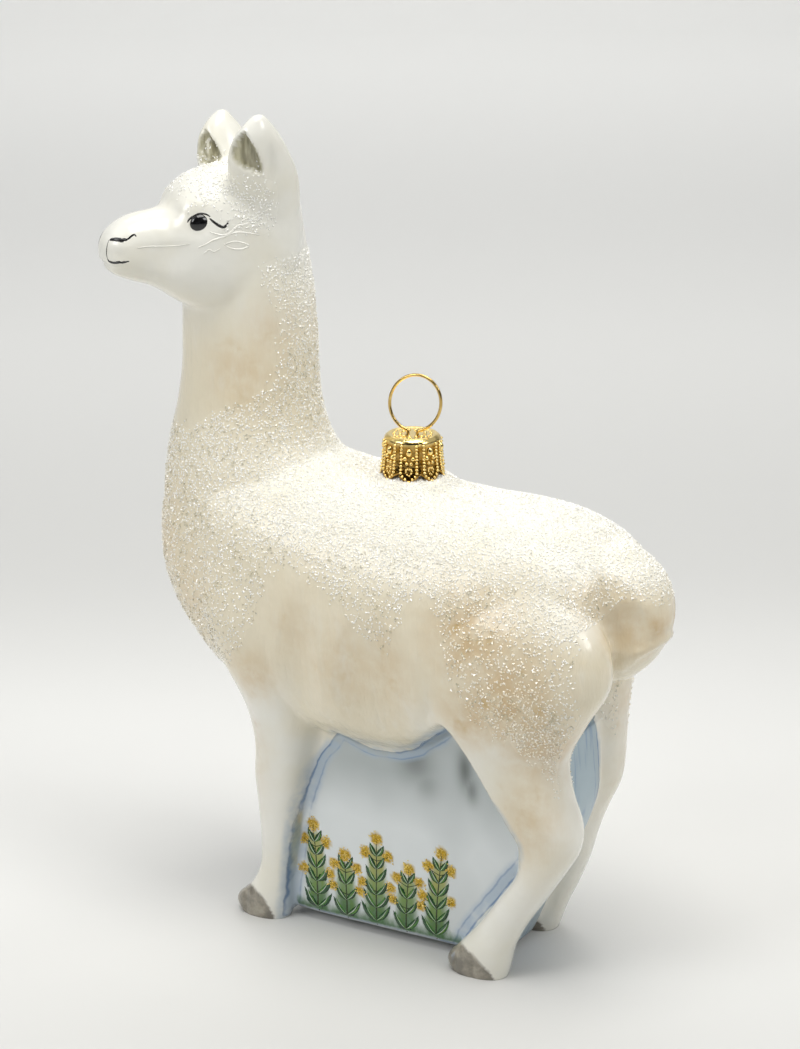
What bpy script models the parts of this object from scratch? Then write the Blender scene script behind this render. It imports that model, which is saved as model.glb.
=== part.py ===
"""A blown-glass tree ornament in the shape of a standing llama: the glass body, its cap and its wire ring.

The llama faces -Y with its left side at +X, and its head is turned to its left. The body is shaped as stacks
of rounded sections, fused and smoothed into one form, then parted with thin cuts into head, neck, trunk, tail,
ears, legs, hooves and the glass web that fills the space between the legs. Every size is in millimetres here
and is brought to metres by MM.
"""

import math

import bmesh
import bpy
import numpy as np
from mathutils import Matrix, Vector

MM = 0.001
GAP = 0.3  # width of every parting cut
SLIVER = 0.02  # shorter edges are welded after a cut
VOXEL = 0.75  # grain of the fused form before it is smoothed
SMOOTHING = 6  # passes that round the creases where two stacks meet
BODY_TRIANGLES = 4200
RING_POINTS = 36  # points round each section of a stack
SECTION_STEP = 1.2  # distance between the sections of a stack

HEAD_TURN = math.radians(52)  # how far the head looks to the llama's left
HEAD_AT = (1.5, -31.0)  # the upright line that the head turns on
CAP_AT = (0.0, 2.5)  # the upright line of the cap, the glass pike and the ring

# ---- Sections: (along, low, high, half width) or (along, low, high, inner side, outer side) ----

# Trunk, from chest to rump: along Y, low and high in Z.
TRUNK = [
    (-45.4, 64.0, 74.5, 4.5),
    (-43.8, 59.5, 80.0, 8.8),
    (-40.3, 54.0, 84.5, 12.8),
    (-34.0, 47.4, 87.6, 16.2),
    (-25.0, 41.0, 87.6, 18.7),
    (-12.0, 36.6, 85.2, 20.2),
    (0.0, 35.6, 83.8, 20.8),
    (14.0, 37.5, 82.7, 20.6),
    (26.0, 41.5, 82.5, 19.6),
    (34.0, 46.0, 81.3, 17.4),
    (40.0, 52.0, 78.6, 14.8),
    (44.0, 57.0, 75.0, 10.4),
    (45.5, 62.0, 71.0, 5.0),
]
# Neck, upwards: along Z, low and high are its front and back in Y.
NECK = [
    (66.0, -42.8, -14.0, 15.0),
    (74.0, -44.8, -12.5, 15.6),
    (82.0, -45.0, -13.0, 14.4),
    (88.0, -44.2, -16.6, 12.8),
    (94.0, -43.0, -18.2, 11.4),
    (100.0, -42.2, -18.6, 10.7),
    (107.0, -42.0, -18.8, 10.5),
    (114.0, -41.6, -19.6, 10.6),
    (121.0, -40.0, -21.0, 10.4),
    (128.0, -38.0, -22.8, 9.4),
    (132.0, -35.0, -25.0, 7.0),
]
# Head, from nape to nose: along the way it looks, low and high in Z.
HEAD = [
    (-9.8, 120.0, 130.0, 5.0),
    (-7.4, 113.0, 133.6, 8.4),
    (-3.0, 109.0, 135.6, 9.8),
    (2.0, 108.5, 136.2, 10.2),
    (6.5, 110.0, 135.5, 9.8),
    (9.0, 111.2, 134.7, 9.2),
    (11.0, 112.2, 133.5, 8.5),
    (12.5, 113.0, 131.8, 7.9),
    (13.6, 113.8, 129.8, 7.2),
    (14.8, 114.7, 129.2, 6.7),
    (17.0, 116.0, 128.9, 6.0),
    (20.0, 117.0, 128.4, 5.4),
    (22.6, 118.0, 127.2, 4.8),
    (24.4, 119.2, 125.6, 3.8),
    (25.5, 121.0, 123.8, 1.6),
]
# One ear, upwards in the head's own frame: back and front, then its sides away from the head's middle.
EAR = [
    (127.0, -8.6, 2.6, 2.4, 9.4),
    (131.5, -8.4, 3.8, 3.4, 10.4),
    (135.5, -7.6, 4.8, 4.4, 11.2),
    (139.0, -6.0, 5.0, 5.4, 11.6),
    (142.4, -4.0, 4.0, 6.8, 11.6),
    (144.8, -2.2, 2.2, 8.2, 11.0),
    (146.2, -1.0, 0.6, 9.2, 10.3),
]
# Tail, upwards: its front and back in Y.
TAIL = [
    (54.8, 41.0, 45.0, 2.4),
    (57.4, 38.2, 48.0, 5.4),
    (61.4, 35.4, 50.8, 7.6),
    (66.0, 34.0, 52.2, 8.8),
    (71.0, 33.0, 51.4, 8.8),
    (75.0, 32.0, 48.6, 7.6),
    (78.0, 32.0, 44.0, 5.2),
]
# Legs, upwards: front and back in Y, then the side towards the body's middle and the outer side.
FRONT_LEG = [
    (-1.2, -27.0, -18.6, 5.4, 11.6),
    (2.6, -28.8, -17.6, 4.8, 12.2),
    (5.4, -25.8, -17.4, 5.0, 12.0),
    (9.0, -23.8, -17.0, 5.2, 11.8),
    (15.0, -23.2, -16.0, 5.0, 12.2),
    (22.0, -23.4, -15.0, 4.6, 13.0),
    (28.0, -24.0, -13.8, 4.4, 13.4),
    (34.0, -23.6, -12.2, 4.0, 14.2),
    (41.0, -24.6, -10.0, 3.4, 16.0),
    (50.0, -28.4, -9.0, 3.0, 18.8),
    (60.0, -32.0, -11.0, 3.0, 20.2),
    (70.0, -32.0, -14.0, 3.0, 18.6),
]
LEFT_HIND_LEG = [
    (-1.2, 18.0, 27.6, 8.0, 14.4),
    (2.4, 16.6, 28.6, 7.4, 15.2),
    (5.2, 19.2, 29.2, 7.6, 15.2),
    (9.0, 22.4, 30.8, 7.8, 15.0),
    (15.0, 26.6, 34.6, 7.6, 15.2),
    (21.5, 30.6, 38.8, 7.2, 15.8),
    (26.0, 30.2, 41.4, 6.8, 16.2),
    (30.5, 27.2, 42.0, 6.4, 16.8),
    (36.0, 21.8, 40.2, 6.0, 17.6),
    (42.0, 15.6, 39.2, 5.0, 18.6),
    (49.0, 10.4, 42.4, 4.0, 20.0),
    (57.0, 8.0, 47.0, 4.0, 21.2),
    (66.0, 11.0, 45.4, 4.0, 20.2),
    (74.0, 17.0, 38.0, 4.0, 16.0),
]
RIGHT_HIND_LEG = [
    (-1.2, 16.2, 25.8, 8.0, 14.4),
    (2.4, 14.8, 27.0, 7.4, 15.2),
    (5.2, 17.4, 28.0, 7.6, 15.2),
    (9.0, 20.4, 29.8, 7.8, 15.0),
    (15.0, 22.8, 32.2, 7.6, 15.2),
    (21.5, 24.6, 34.0, 7.2, 15.6),
    (26.0, 25.2, 35.8, 6.8, 15.8),
    (30.5, 24.6, 37.8, 6.4, 16.4),
    (35.0, 22.0, 38.4, 6.0, 17.0),
    (40.0, 17.6, 38.5, 5.4, 18.0),
    (47.0, 11.8, 38.8, 4.4, 19.4),
    (57.0, 8.0, 40.6, 4.0, 20.8),
    (66.0, 11.0, 40.5, 4.0, 20.2),
    (74.0, 17.0, 36.0, 4.0, 16.0),
]
# The web of glass that fills the space between the legs, upwards: front and back in Y.
WEB = [
    (1.2, -19.4, 24.4, 7.0),
    (2.6, -19.4, 25.0, 8.2),
    (4.6, -19.4, 25.8, 8.4),
    (12.0, -19.4, 29.0, 8.2),
    (22.0, -19.4, 34.0, 8.4),
    (30.0, -19.4, 36.6, 9.0),
    (37.0, -19.8, 36.6, 10.2),
    (44.0, -22.0, 36.0, 12.0),
]
# The rise in the back that carries the pike, upwards: round sections about CAP_AT.
BOSS = [(76.0, 12.0), (81.0, 9.6), (83.0, 6.6), (84.2, 4.8)]

OVAL = 2.0  # exponent of a section's outline: 2 is an ellipse, more is squarer
FULL_OVAL = 2.4
LEG_OVAL = 2.3
WEB_SQUARE = 7.0

RIGHT_FRONT_STRIDE = 1.5  # how far the right front foot stands behind the left one
STRIDE_FROM, STRIDE_TO = 64.0, 44.0  # heights between which the stride fades in
RIGHT_EAR_DROP = 2.4  # the head leans a little, so the right ear is lower

# ---- Dents: (centre, radii, push), each a hollow or a swelling of the smoothed form ----
BODY_DENTS = [
    ((21.0, 6.0, 51.0), (9.0, 9.0, 15.0), (-1.5, 0.0, 0.0)),  # hollow of the flank
    ((21.0, -9.0, 52.0), (8.0, 5.0, 15.0), (-1.1, 0.0, 0.0)),  # behind the shoulder
    ((20.0, -34.0, 72.0), (8.0, 7.0, 12.0), (-1.0, 0.3, 0.0)),  # root of the neck
    ((9.0, 44.0, 68.0), (5.0, 6.0, 9.0), (-1.3, -1.2, 0.0)),  # beside the tail
]
HEAD_DENTS = [
    ((10.2, 8.0, 127.6), (4.2, 3.6, 3.2), (0.0, -0.7, 0.0)),  # eye socket
    ((15.0, 6.6, 122.0), (5.0, 4.0, 3.4), (0.0, -0.5, 0.0)),  # hollow of the cheek
    ((23.0, 3.6, 122.6), (1.8, 1.8, 1.1), (-0.2, -0.4, 0.0)),  # nostril
    ((22.6, 3.4, 119.6), (2.6, 2.6, 0.9), (0.0, -0.35, 0.0)),  # corner of the mouth
    ((3.2, 7.6, 137.4), (3.2, 2.5, 5.2), (-1.5, 0.2, 0.0)),  # hollow of the ear
]
HEAD_CENTRE_DENTS = [((25.2, 0.0, 120.2), (2.0, 4.0, 0.9), (-0.5, 0.0, 0.0))]  # the mouth's front
CLEFTS = [(8.5, -28.8), (-8.5, -27.3), (11.4, 16.6), (-11.4, 14.8)]  # tip of each hoof, in X and Y
CLEFT_RADII, CLEFT_PUSH = (0.9, 3.2, 5.0), 1.3

EYE_AT = (10.0, 7.1, 127.6)  # in the head's own frame: forward, sideways, height
EYE_RADII = (1.95, 1.0, 1.72)
EAR_CUT_LEAN = 30.0  # degrees that the cut under an ear slopes down to the side

# ---- Cap and ring ----
PIKE_RADIUS, PIKE_BORE = 4.2, 3.3
PIKE_FOOT, PIKE_TOP = 84.9, 90.6
CAP_TABS = 8
CAP_STEPS_PER_TAB = 4
CAP_WALL = 0.35
CAP_TIP, CAP_NOTCH, CAP_TOP = 84.1, 85.6, 92.0  # heights of the tabs' tips, of the notches and of the top
CAP_FOOT_RADIUS, CAP_BODY_RADIUS, CAP_FLAT_RADIUS = 5.55, 4.95, 4.0
WIRE_RADIUS = 0.28
RING_RADIUS, RING_RISE, RING_HEIGHT = 4.7, 5.0, 97.3  # half its width, half its height, and its middle
RING_LEAN = 0.96  # how far its top hangs over to one side
RING_TWIST = math.radians(8)
RING_FOOT_ANGLE = math.radians(16)  # half the arc, at the ring's foot, where the wire turns down
RING_FOOT = 0.85  # from the ring's middle to each end of the wire, where it goes through the cap
WIRE_FOOT = 86.5
SLOT_CLEARANCE = 0.3

COLOURS = {
    "pearl_glaze": ((0.86, 0.85, 0.78), 0.18, 0.0),
    "frosted_glaze": ((0.88, 0.86, 0.76), 0.5, 0.0),
    "silvered_glass": ((0.62, 0.70, 0.78), 0.12, 0.6),
    "hoof_paint": ((0.30, 0.29, 0.26), 0.3, 0.0),
    "eye_paint": ((0.01, 0.01, 0.01), 0.12, 0.0),
    "gilt_brass": ((0.83, 0.58, 0.18), 0.25, 1.0),
}


def clear_scene():
    for obj in list(bpy.data.objects):
        bpy.data.objects.remove(obj)


def finish_material(name):
    """The Principled material of one finish, made once."""
    found = bpy.data.materials.get(name)
    if found:
        return found
    colour, roughness, metallic = COLOURS[name]
    material = bpy.data.materials.new(name)
    material.use_nodes = True
    surface = material.node_tree.nodes["Principled BSDF"]
    surface.inputs["Base Color"].default_value = (*colour, 1.0)
    surface.inputs["Roughness"].default_value = roughness
    surface.inputs["Metallic"].default_value = metallic
    return material


def add_object(name, mesh, finish=None):
    obj = bpy.data.objects.new(name, mesh)
    bpy.context.scene.collection.objects.link(obj)
    if finish:
        mesh.materials.clear()
        mesh.materials.append(finish_material(finish))
    return obj


def mesh_of(bm, name):
    """A new mesh from bm, in metres, with its faces pointing out."""
    bmesh.ops.recalc_face_normals(bm, faces=bm.faces)
    bm.transform(Matrix.Scale(MM, 4))
    mesh = bpy.data.meshes.new(name)
    bm.to_mesh(mesh)
    bm.free()
    return mesh


def evaluated_mesh(obj):
    """The mesh that obj's modifiers make of it."""
    bpy.context.view_layer.update()
    graph = bpy.context.evaluated_depsgraph_get()
    return bpy.data.meshes.new_from_object(obj.evaluated_get(graph))


# ---- Stacks of sections ----


def eased_rows(rows):
    """The rows joined by a smooth curve through each column, one row every SECTION_STEP."""
    rows = np.array([r if len(r) == 5 else (r[0], r[1], r[2], -r[3], r[3]) for r in rows], float)
    along = rows[:, 0]
    slopes = np.gradient(rows, along, axis=0)
    places = np.linspace(along[0], along[-1], max(4, round((along[-1] - along[0]) / SECTION_STEP)))
    made = []
    for place in places:
        i = min(int(np.searchsorted(along, place, side="right")) - 1, len(along) - 2)
        span = along[i + 1] - along[i]
        t = (place - along[i]) / span
        made.append(
            (2 * t**3 - 3 * t**2 + 1) * rows[i]
            + (t**3 - 2 * t**2 + t) * span * slopes[i]
            + (3 * t**2 - 2 * t**3) * rows[i + 1]
            + (t**3 - t**2) * span * slopes[i + 1]
        )
    return made


def outline(exponent):
    """A superellipse's points, as shares of its half sizes."""
    angles = [2 * math.pi * i / RING_POINTS for i in range(RING_POINTS)]
    power = 2 / exponent
    return [
        (
            math.copysign(abs(math.cos(a)) ** power, math.cos(a)),
            math.copysign(abs(math.sin(a)) ** power, math.sin(a)),
        )
        for a in angles
    ]


def stack(bm, rows, place, exponent=OVAL):
    """Adds a closed solid to bm: one section for each row, where place(along, depth, side) gives a point."""
    rings = []
    for along, low, high, near, far in eased_rows(rows):
        ring = [
            bm.verts.new(
                place(along, (low + high) / 2 + (high - low) / 2 * d, (near + far) / 2 + (far - near) / 2 * w)
            )
            for d, w in outline(exponent)
        ]
        rings.append(ring)
    made = [bm.faces.new(rings[0]), bm.faces.new(rings[-1])]
    for lower, upper in zip(rings, rings[1:]):
        for i in range(RING_POINTS):
            j = (i + 1) % RING_POINTS
            made.append(bm.faces.new((lower[i], lower[j], upper[j], upper[i])))
    bmesh.ops.recalc_face_normals(bm, faces=made)


def lengthwise(along, depth, side):
    return Vector((side, along, depth))


def upright(along, depth, side):
    return Vector((side, depth, along))


def upright_right(along, depth, side):
    return Vector((-side, depth, along))


def from_head(forward, sideways, height):
    """A point of the head's own frame: forward is the way it looks, sideways is to its left."""
    turned = Matrix.Rotation(HEAD_TURN, 3, "Z") @ Vector((sideways, -forward, 0.0))
    return Vector((turned.x + HEAD_AT[0], turned.y + HEAD_AT[1], height))


def strided(rows, stride):
    """The rows of a leg whose foot stands further back by stride."""
    made = []
    for height, front, back, inner, outer in rows:
        t = min(max((STRIDE_FROM - height) / (STRIDE_FROM - STRIDE_TO), 0.0), 1.0)
        shift = stride * t * t * (3 - 2 * t)
        made.append((height, front + shift, back + shift, inner, outer))
    return made


def rough_form():
    """All the stacks of the glass body, still separate shells in one mesh."""
    bm = bmesh.new()
    stack(bm, TRUNK, lengthwise, FULL_OVAL)
    stack(bm, NECK, upright, FULL_OVAL)
    stack(bm, HEAD, lambda a, d, w: from_head(a, w, d), FULL_OVAL)
    stack(bm, EAR, lambda a, d, w: from_head(d, w, a))
    stack(bm, EAR, lambda a, d, w: from_head(d, -w, a - RIGHT_EAR_DROP))
    stack(bm, TAIL, upright)
    stack(bm, FRONT_LEG, upright, LEG_OVAL)
    stack(bm, strided(FRONT_LEG, RIGHT_FRONT_STRIDE), upright_right, LEG_OVAL)
    stack(bm, LEFT_HIND_LEG, upright, LEG_OVAL)
    stack(bm, RIGHT_HIND_LEG, upright_right, LEG_OVAL)
    stack(bm, WEB, upright, WEB_SQUARE)
    boss = [(height, CAP_AT[1] - r, CAP_AT[1] + r, r) for height, r in BOSS]
    stack(bm, boss, upright)
    mesh = bpy.data.meshes.new("rough_form")
    bm.transform(Matrix.Scale(MM, 4))
    bm.to_mesh(mesh)
    bm.free()
    return mesh


# ---- Dents ----


def dent(points, centre, radii, push):
    """Pushes the points inside an ellipsoid, most at its centre."""
    reach = 1 - (((points - np.array(centre)) / np.array(radii)) ** 2).sum(axis=1)
    points += np.clip(reach, 0, None)[:, None] ** 1.5 * np.array(push)


def dent_all(mesh):
    """Gives the smoothed form its hollows: those of the body, of the turned head and of the hooves."""
    points = np.empty(len(mesh.vertices) * 3)
    mesh.vertices.foreach_get("co", points)
    points = points.reshape(-1, 3) / MM
    for side in (1, -1):
        for centre, radii, push in BODY_DENTS:
            dent(points, (side * centre[0], *centre[1:]), radii, (side * push[0], *push[1:]))
    turn = np.array(Matrix.Rotation(HEAD_TURN, 3, "Z"))
    to_body = turn @ np.array([[0, 1, 0], [-1, 0, 0], [0, 0, 1.0]])
    seat = np.array([*HEAD_AT, 0.0])
    on_head = points[:, 2] > 108
    head = (points[on_head] - seat) @ to_body
    for side in (1, -1):
        for centre, radii, push in HEAD_DENTS:
            dent(head, (centre[0], side * centre[1], centre[2]), radii, (push[0], side * push[1], push[2]))
    for centre, radii, push in HEAD_CENTRE_DENTS:
        dent(head, centre, radii, push)
    points[on_head] = head @ to_body.T + seat
    for x, y in CLEFTS:
        dent(points, (x, y, 2.0), CLEFT_RADII, (0.0, CLEFT_PUSH, 0.0))
    mesh.vertices.foreach_set("co", (points * MM).ravel())
    mesh.update()


def fused_form():
    """The stacks as one smooth skin, dented, thinned to facets and cut flat under the feet."""
    rough = add_object("rough_form", rough_form())
    remesh = rough.modifiers.new("fuse", "REMESH")
    remesh.mode = "VOXEL"
    remesh.voxel_size = VOXEL * MM
    smooth = rough.modifiers.new("soften", "SMOOTH")
    smooth.factor = 0.5
    smooth.iterations = SMOOTHING
    mesh = evaluated_mesh(rough)
    bpy.data.objects.remove(rough)
    dent_all(mesh)
    form = add_object("form", mesh)
    mesh.calc_loop_triangles()
    thin = form.modifiers.new("facets", "DECIMATE")
    thin.ratio = BODY_TRIANGLES / len(mesh.loop_triangles)
    facets = evaluated_mesh(form)
    bpy.data.objects.remove(form)
    return facets


# ---- Cutting ----


def cut(mesh, tool, operation):
    """mesh after a Boolean with the tool's mesh."""
    target = add_object("target", mesh)
    cutter = add_object("cutter", tool)
    boolean = target.modifiers.new("cut", "BOOLEAN")
    boolean.operation = operation
    boolean.solver = "EXACT"
    boolean.object = cutter
    made = evaluated_mesh(target)
    bpy.data.objects.remove(target)
    bpy.data.objects.remove(cutter)
    return made


def weld_slivers(mesh):
    """Welds the very short edges that a cut can leave."""
    bm = bmesh.new()
    bm.from_mesh(mesh)
    bmesh.ops.remove_doubles(bm, verts=bm.verts, dist=SLIVER * MM)
    bm.to_mesh(mesh)
    bm.free()


def box_mesh(low, high, place=lambda p: p, grow=0.0):
    """A box between two corners, grown on every side, each corner set by place."""
    bm = bmesh.new()
    bmesh.ops.create_cube(bm, size=1.0)
    for vert in bm.verts:
        corner = [l - grow if c < 0 else h + grow for c, l, h in zip(vert.co, low, high)]
        vert.co = place(Vector(corner))
    return mesh_of(bm, "box")


def ellipsoid_mesh(centre, radii, place, grow=0.0):
    bm = bmesh.new()
    bmesh.ops.create_uvsphere(bm, u_segments=14, v_segments=7, radius=1.0)
    for vert in bm.verts:
        vert.co = place(*(c + v * (r + grow) for c, v, r in zip(centre, vert.co, radii)))
    return mesh_of(bm, "ellipsoid")


def cylinder_mesh(radius, low, high, at, segments=32):
    bm = bmesh.new()
    bmesh.ops.create_cone(
        bm, cap_ends=True, segments=segments, radius1=radius, radius2=radius, depth=high - low
    )
    bmesh.ops.translate(bm, verts=bm.verts, vec=(at[0], at[1], (low + high) / 2))
    return mesh_of(bm, "cylinder")


def tilted(centre, degrees):
    """Places a box about a frame whose rear is tipped up: its corners are offsets from centre."""
    turn = Matrix.Rotation(math.radians(degrees), 3, "X")
    return lambda p: turn @ p + Vector(centre)


def head_frame(p):
    return from_head(p.x, p.y, p.z)


FAR = 90.0  # beyond the whole body


def part_off(stock, boxes, place=lambda p: p):
    """Cuts some joined boxes out of the stock. Returns the piece inside them and the rest, a GAP apart."""
    tool = box_mesh(*boxes[0], place)
    for low, high in boxes[1:]:
        tool = cut(tool, box_mesh(low, high, place), "UNION")
    piece = cut(stock.copy(), tool, "INTERSECT")
    for low, high in boxes:
        stock = cut(stock, box_mesh(low, high, place, GAP), "DIFFERENCE")
    weld_slivers(piece)
    weld_slivers(stock)
    return piece, stock


def mirrored(low, high, side):
    """The two corners of a box, or of the same box on the right side."""
    if side > 0:
        return low, high
    return (-high[0], *low[1:]), (-low[0], *high[1:])


def glass_nodes():
    """The glass body parted into its named pieces: {name: mesh}."""
    stock = fused_form()
    stock = cut(stock, box_mesh((-FAR, -FAR, -FAR), (FAR, FAR, 0.0)), "DIFFERENCE")
    stock = cut(stock, cylinder_mesh(PIKE_RADIUS, 78.0, PIKE_TOP, CAP_AT), "UNION")
    stock = cut(stock, cylinder_mesh(PIKE_BORE, 81.0, PIKE_TOP + 5, CAP_AT), "DIFFERENCE")
    made = {}
    sides = (("left", 1), ("right", -1))
    made["pike"], stock = part_off(
        stock, [((-6.0, CAP_AT[1] - 6.0, PIKE_FOOT), (6.0, CAP_AT[1] + 6.0, PIKE_TOP + 5))]
    )
    for name, side in sides:
        lean = Matrix.Rotation(math.radians(-EAR_CUT_LEAN * side), 3, "X")
        root = Vector((-1.5, side * 7.6, 134.0 - (side < 0) * RIGHT_EAR_DROP))
        made["ear_" + name], stock = part_off(
            stock, [((-12.0, -7.0, 0.0), (10.0, 7.0, 20.0))], lambda p: head_frame(lean @ p + root)
        )
    made["head"], stock = part_off(stock, [((-60, -FAR, 0), (60, 80, 60))], tilted((0, -30, 112.0), 16))
    for name, side in sides:
        centre = (EYE_AT[0], side * EYE_AT[1], EYE_AT[2])
        made["eye_" + name] = ellipsoid_mesh(centre, EYE_RADII, from_head)
        socket = ellipsoid_mesh(centre, EYE_RADII, from_head, GAP)
        made["head"] = cut(made["head"], socket, "DIFFERENCE")
    made["neck"], stock = part_off(stock, [((-60, -60, 0), (60, 22, 60))], tilted((0, -28, 83.0), 16))
    made["tail"], stock = part_off(stock, [((-9.8, 0, -13.5), (9.8, 30, 30))], tilted((0, 41.5, 66.0), -14))
    for name, side in sides:
        stride = (side < 0) * RIGHT_FRONT_STRIDE
        boxes = [mirrored((0.6, -40.0, -5.0), (30.0, -23.6 + stride, 5.6), side)]
        made["hoof_front_" + name], stock = part_off(stock, boxes)
        boxes = [mirrored((9.0, 12.0, -5.0), (30.0, 21.8 if side > 0 else 20.0, 5.6), side)]
        made["hoof_hind_" + name], stock = part_off(stock, boxes)
    for name, side in sides:
        boxes = [
            mirrored((9.2, -60.0, -5.0), (40.0, -12.0, 38.0), side),
            mirrored((2.0, -60.0, -5.0), (10.0, -20.0 + (side < 0) * RIGHT_FRONT_STRIDE / 2, 38.0), side),
        ]
        made["leg_front_" + name], stock = part_off(stock, boxes)
        made["leg_hind_" + name], stock = part_off(stock, [mirrored((9.2, 13.0, -5.0), (40.0, 60.0, 42.0), side)])
    made["leg_web"], stock = part_off(stock, [((-FAR, -FAR, -5.0), (FAR, FAR, 36.0))])
    made["trunk"] = stock
    return made


# ---- Cap and ring ----


def cap_point(turn, level, inset):
    """A point of the cap's skirt: level 0 is its lower edge, 1 is its shoulder."""
    across = abs((turn * CAP_TABS) % 1.0 - 0.5) * 2  # 0 at the middle of a tab, 1 between two tabs
    foot = CAP_TIP + (CAP_NOTCH - CAP_TIP) * min(1.0, across * 1.15)
    shoulder = CAP_TOP - 0.9
    height = foot + (shoulder - foot) * level
    flare = (CAP_FOOT_RADIUS - CAP_BODY_RADIUS) * (1 - level) ** 2
    fold = 0.5 * max(0.0, across - 0.7) / 0.3 * (1 - level)
    radius = CAP_BODY_RADIUS + flare - fold - inset
    angle = 2 * math.pi * turn
    return Vector((radius * math.cos(angle) + CAP_AT[0], radius * math.sin(angle) + CAP_AT[1], height))


def cap_rings(inset):
    """The rings of points of one face of the cap, from its lower edge to the middle of its top."""
    count = CAP_TABS * CAP_STEPS_PER_TAB
    rings = [[cap_point(i / count, level, inset) for i in range(count)] for level in (0, 0.35, 0.7, 1)]
    for radius, height in ((CAP_BODY_RADIUS - 0.3, CAP_TOP - 0.35), (CAP_FLAT_RADIUS, CAP_TOP), (1.6, CAP_TOP)):
        ring = []
        for i in range(count):
            angle = 2 * math.pi * i / count
            r = radius - min(inset, 0.3)
            ring.append(Vector((r * math.cos(angle), r * math.sin(angle) + CAP_AT[1], height - inset)))
        rings.append(ring)
    return rings


def cap_mesh():
    """The crown cap: a thin cup upside down, its skirt cut into pointed tabs, with two holes for the wire."""
    bm = bmesh.new()
    skins = []
    for inset in (0.0, CAP_WALL):
        rings = [[bm.verts.new(p) for p in ring] for ring in cap_rings(inset)]
        bm.faces.new(rings[-1])
        skins.append(rings)
        for lower, upper in zip(rings, rings[1:]):
            for i in range(len(lower)):
                j = (i + 1) % len(lower)
                bm.faces.new((lower[i], lower[j], upper[j], upper[i]))
    outer, inner = skins[0][0], skins[1][0]
    for i in range(len(outer)):
        j = (i + 1) % len(outer)
        bm.faces.new((outer[i], inner[i], inner[j], outer[j]))
    cup = mesh_of(bm, "cap")
    for side in (1, -1):
        at = ring_place(side * RING_FOOT, 0.0)
        hole = cylinder_mesh(WIRE_RADIUS + SLOT_CLEARANCE, CAP_TOP - 2, CAP_TOP + 2, (at.x, at.y), 12)
        cup = cut(cup, hole, "DIFFERENCE")
    return cup


def ring_place(across, height):
    """A point in the ring's own upright plane."""
    return Vector(
        (
            CAP_AT[0] - across * math.sin(RING_TWIST),
            CAP_AT[1] + across * math.cos(RING_TWIST),
            height,
        )
    )


def wire_ring():
    """The hanging ring: a round loop of wire whose two ends turn down through the cap into the pike."""
    steps = 28
    start = -math.pi / 2 + RING_FOOT_ANGLE
    sweep = 2 * math.pi - 2 * RING_FOOT_ANGLE
    loop = []
    for i in range(steps + 1):
        angle = start + sweep * i / steps
        lean = RING_LEAN * (1 + math.sin(angle)) / 2
        loop.append(ring_place(lean + RING_RADIUS * math.cos(angle), RING_HEIGHT + RING_RISE * math.sin(angle)))
    spread = PIKE_BORE - WIRE_RADIUS - GAP
    leg = [(spread, WIRE_FOOT), (RING_FOOT, CAP_TOP - 1.2), (RING_FOOT, CAP_TOP), (RING_FOOT + 0.06, CAP_TOP + 0.28)]
    right = [ring_place(across, height) for across, height in leg]
    left = [ring_place(-across, height) for across, height in reversed(leg)]
    points = right + loop + left
    curve = bpy.data.curves.new("hanger_ring", "CURVE")
    curve.dimensions = "3D"
    curve.bevel_depth = WIRE_RADIUS * MM
    curve.bevel_resolution = 1
    curve.use_fill_caps = True
    line = curve.splines.new("POLY")
    line.points.add(len(points) - 1)
    for spot, place in zip(line.points, points):
        spot.co = (*(place * MM), 1.0)
    curve.materials.append(finish_material("gilt_brass"))
    obj = bpy.data.objects.new("hanger_ring", curve)
    bpy.context.scene.collection.objects.link(obj)
    return obj


def finish_of(name):
    if name.startswith("eye"):
        return "eye_paint"
    if name.startswith("hoof"):
        return "hoof_paint"
    if name == "leg_web":
        return "silvered_glass"
    return "frosted_glaze" if name in ("trunk", "neck") else "pearl_glaze"


def centre_on_floor(objects):
    """Hangs the pieces on one empty and moves it, so that the box round them stands centred on the origin."""
    bpy.context.view_layer.update()
    corners = np.array([obj.matrix_world @ Vector(c) for obj in objects for c in obj.bound_box])
    middle = (corners.min(axis=0) + corners.max(axis=0)) / 2
    stand = bpy.data.objects.new("ornament", None)
    bpy.context.scene.collection.objects.link(stand)
    for obj in objects:
        obj.parent = stand
    stand.location = (-middle[0], -middle[1], -corners[:, 2].min())


def main():
    clear_scene()
    objects = [add_object(name, mesh, finish_of(name)) for name, mesh in glass_nodes().items()]
    objects.append(add_object("cap", cap_mesh(), "gilt_brass"))
    objects.append(wire_ring())
    centre_on_floor(objects)


main()
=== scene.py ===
"""The looks of a blown-glass tree ornament: a white llama with a glittered coat, a gold crown cap and a wire ring.

Lengths below are millimetres in the maker's own frame: the llama faces -Y, its left side is at +X, the table is
at Z = 0. add_piece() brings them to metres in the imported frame.
"""

import math
import random

import bmesh
import bpy
import numpy as np
from mathutils import Matrix, Vector
from mathutils.bvhtree import BVHTree

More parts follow.
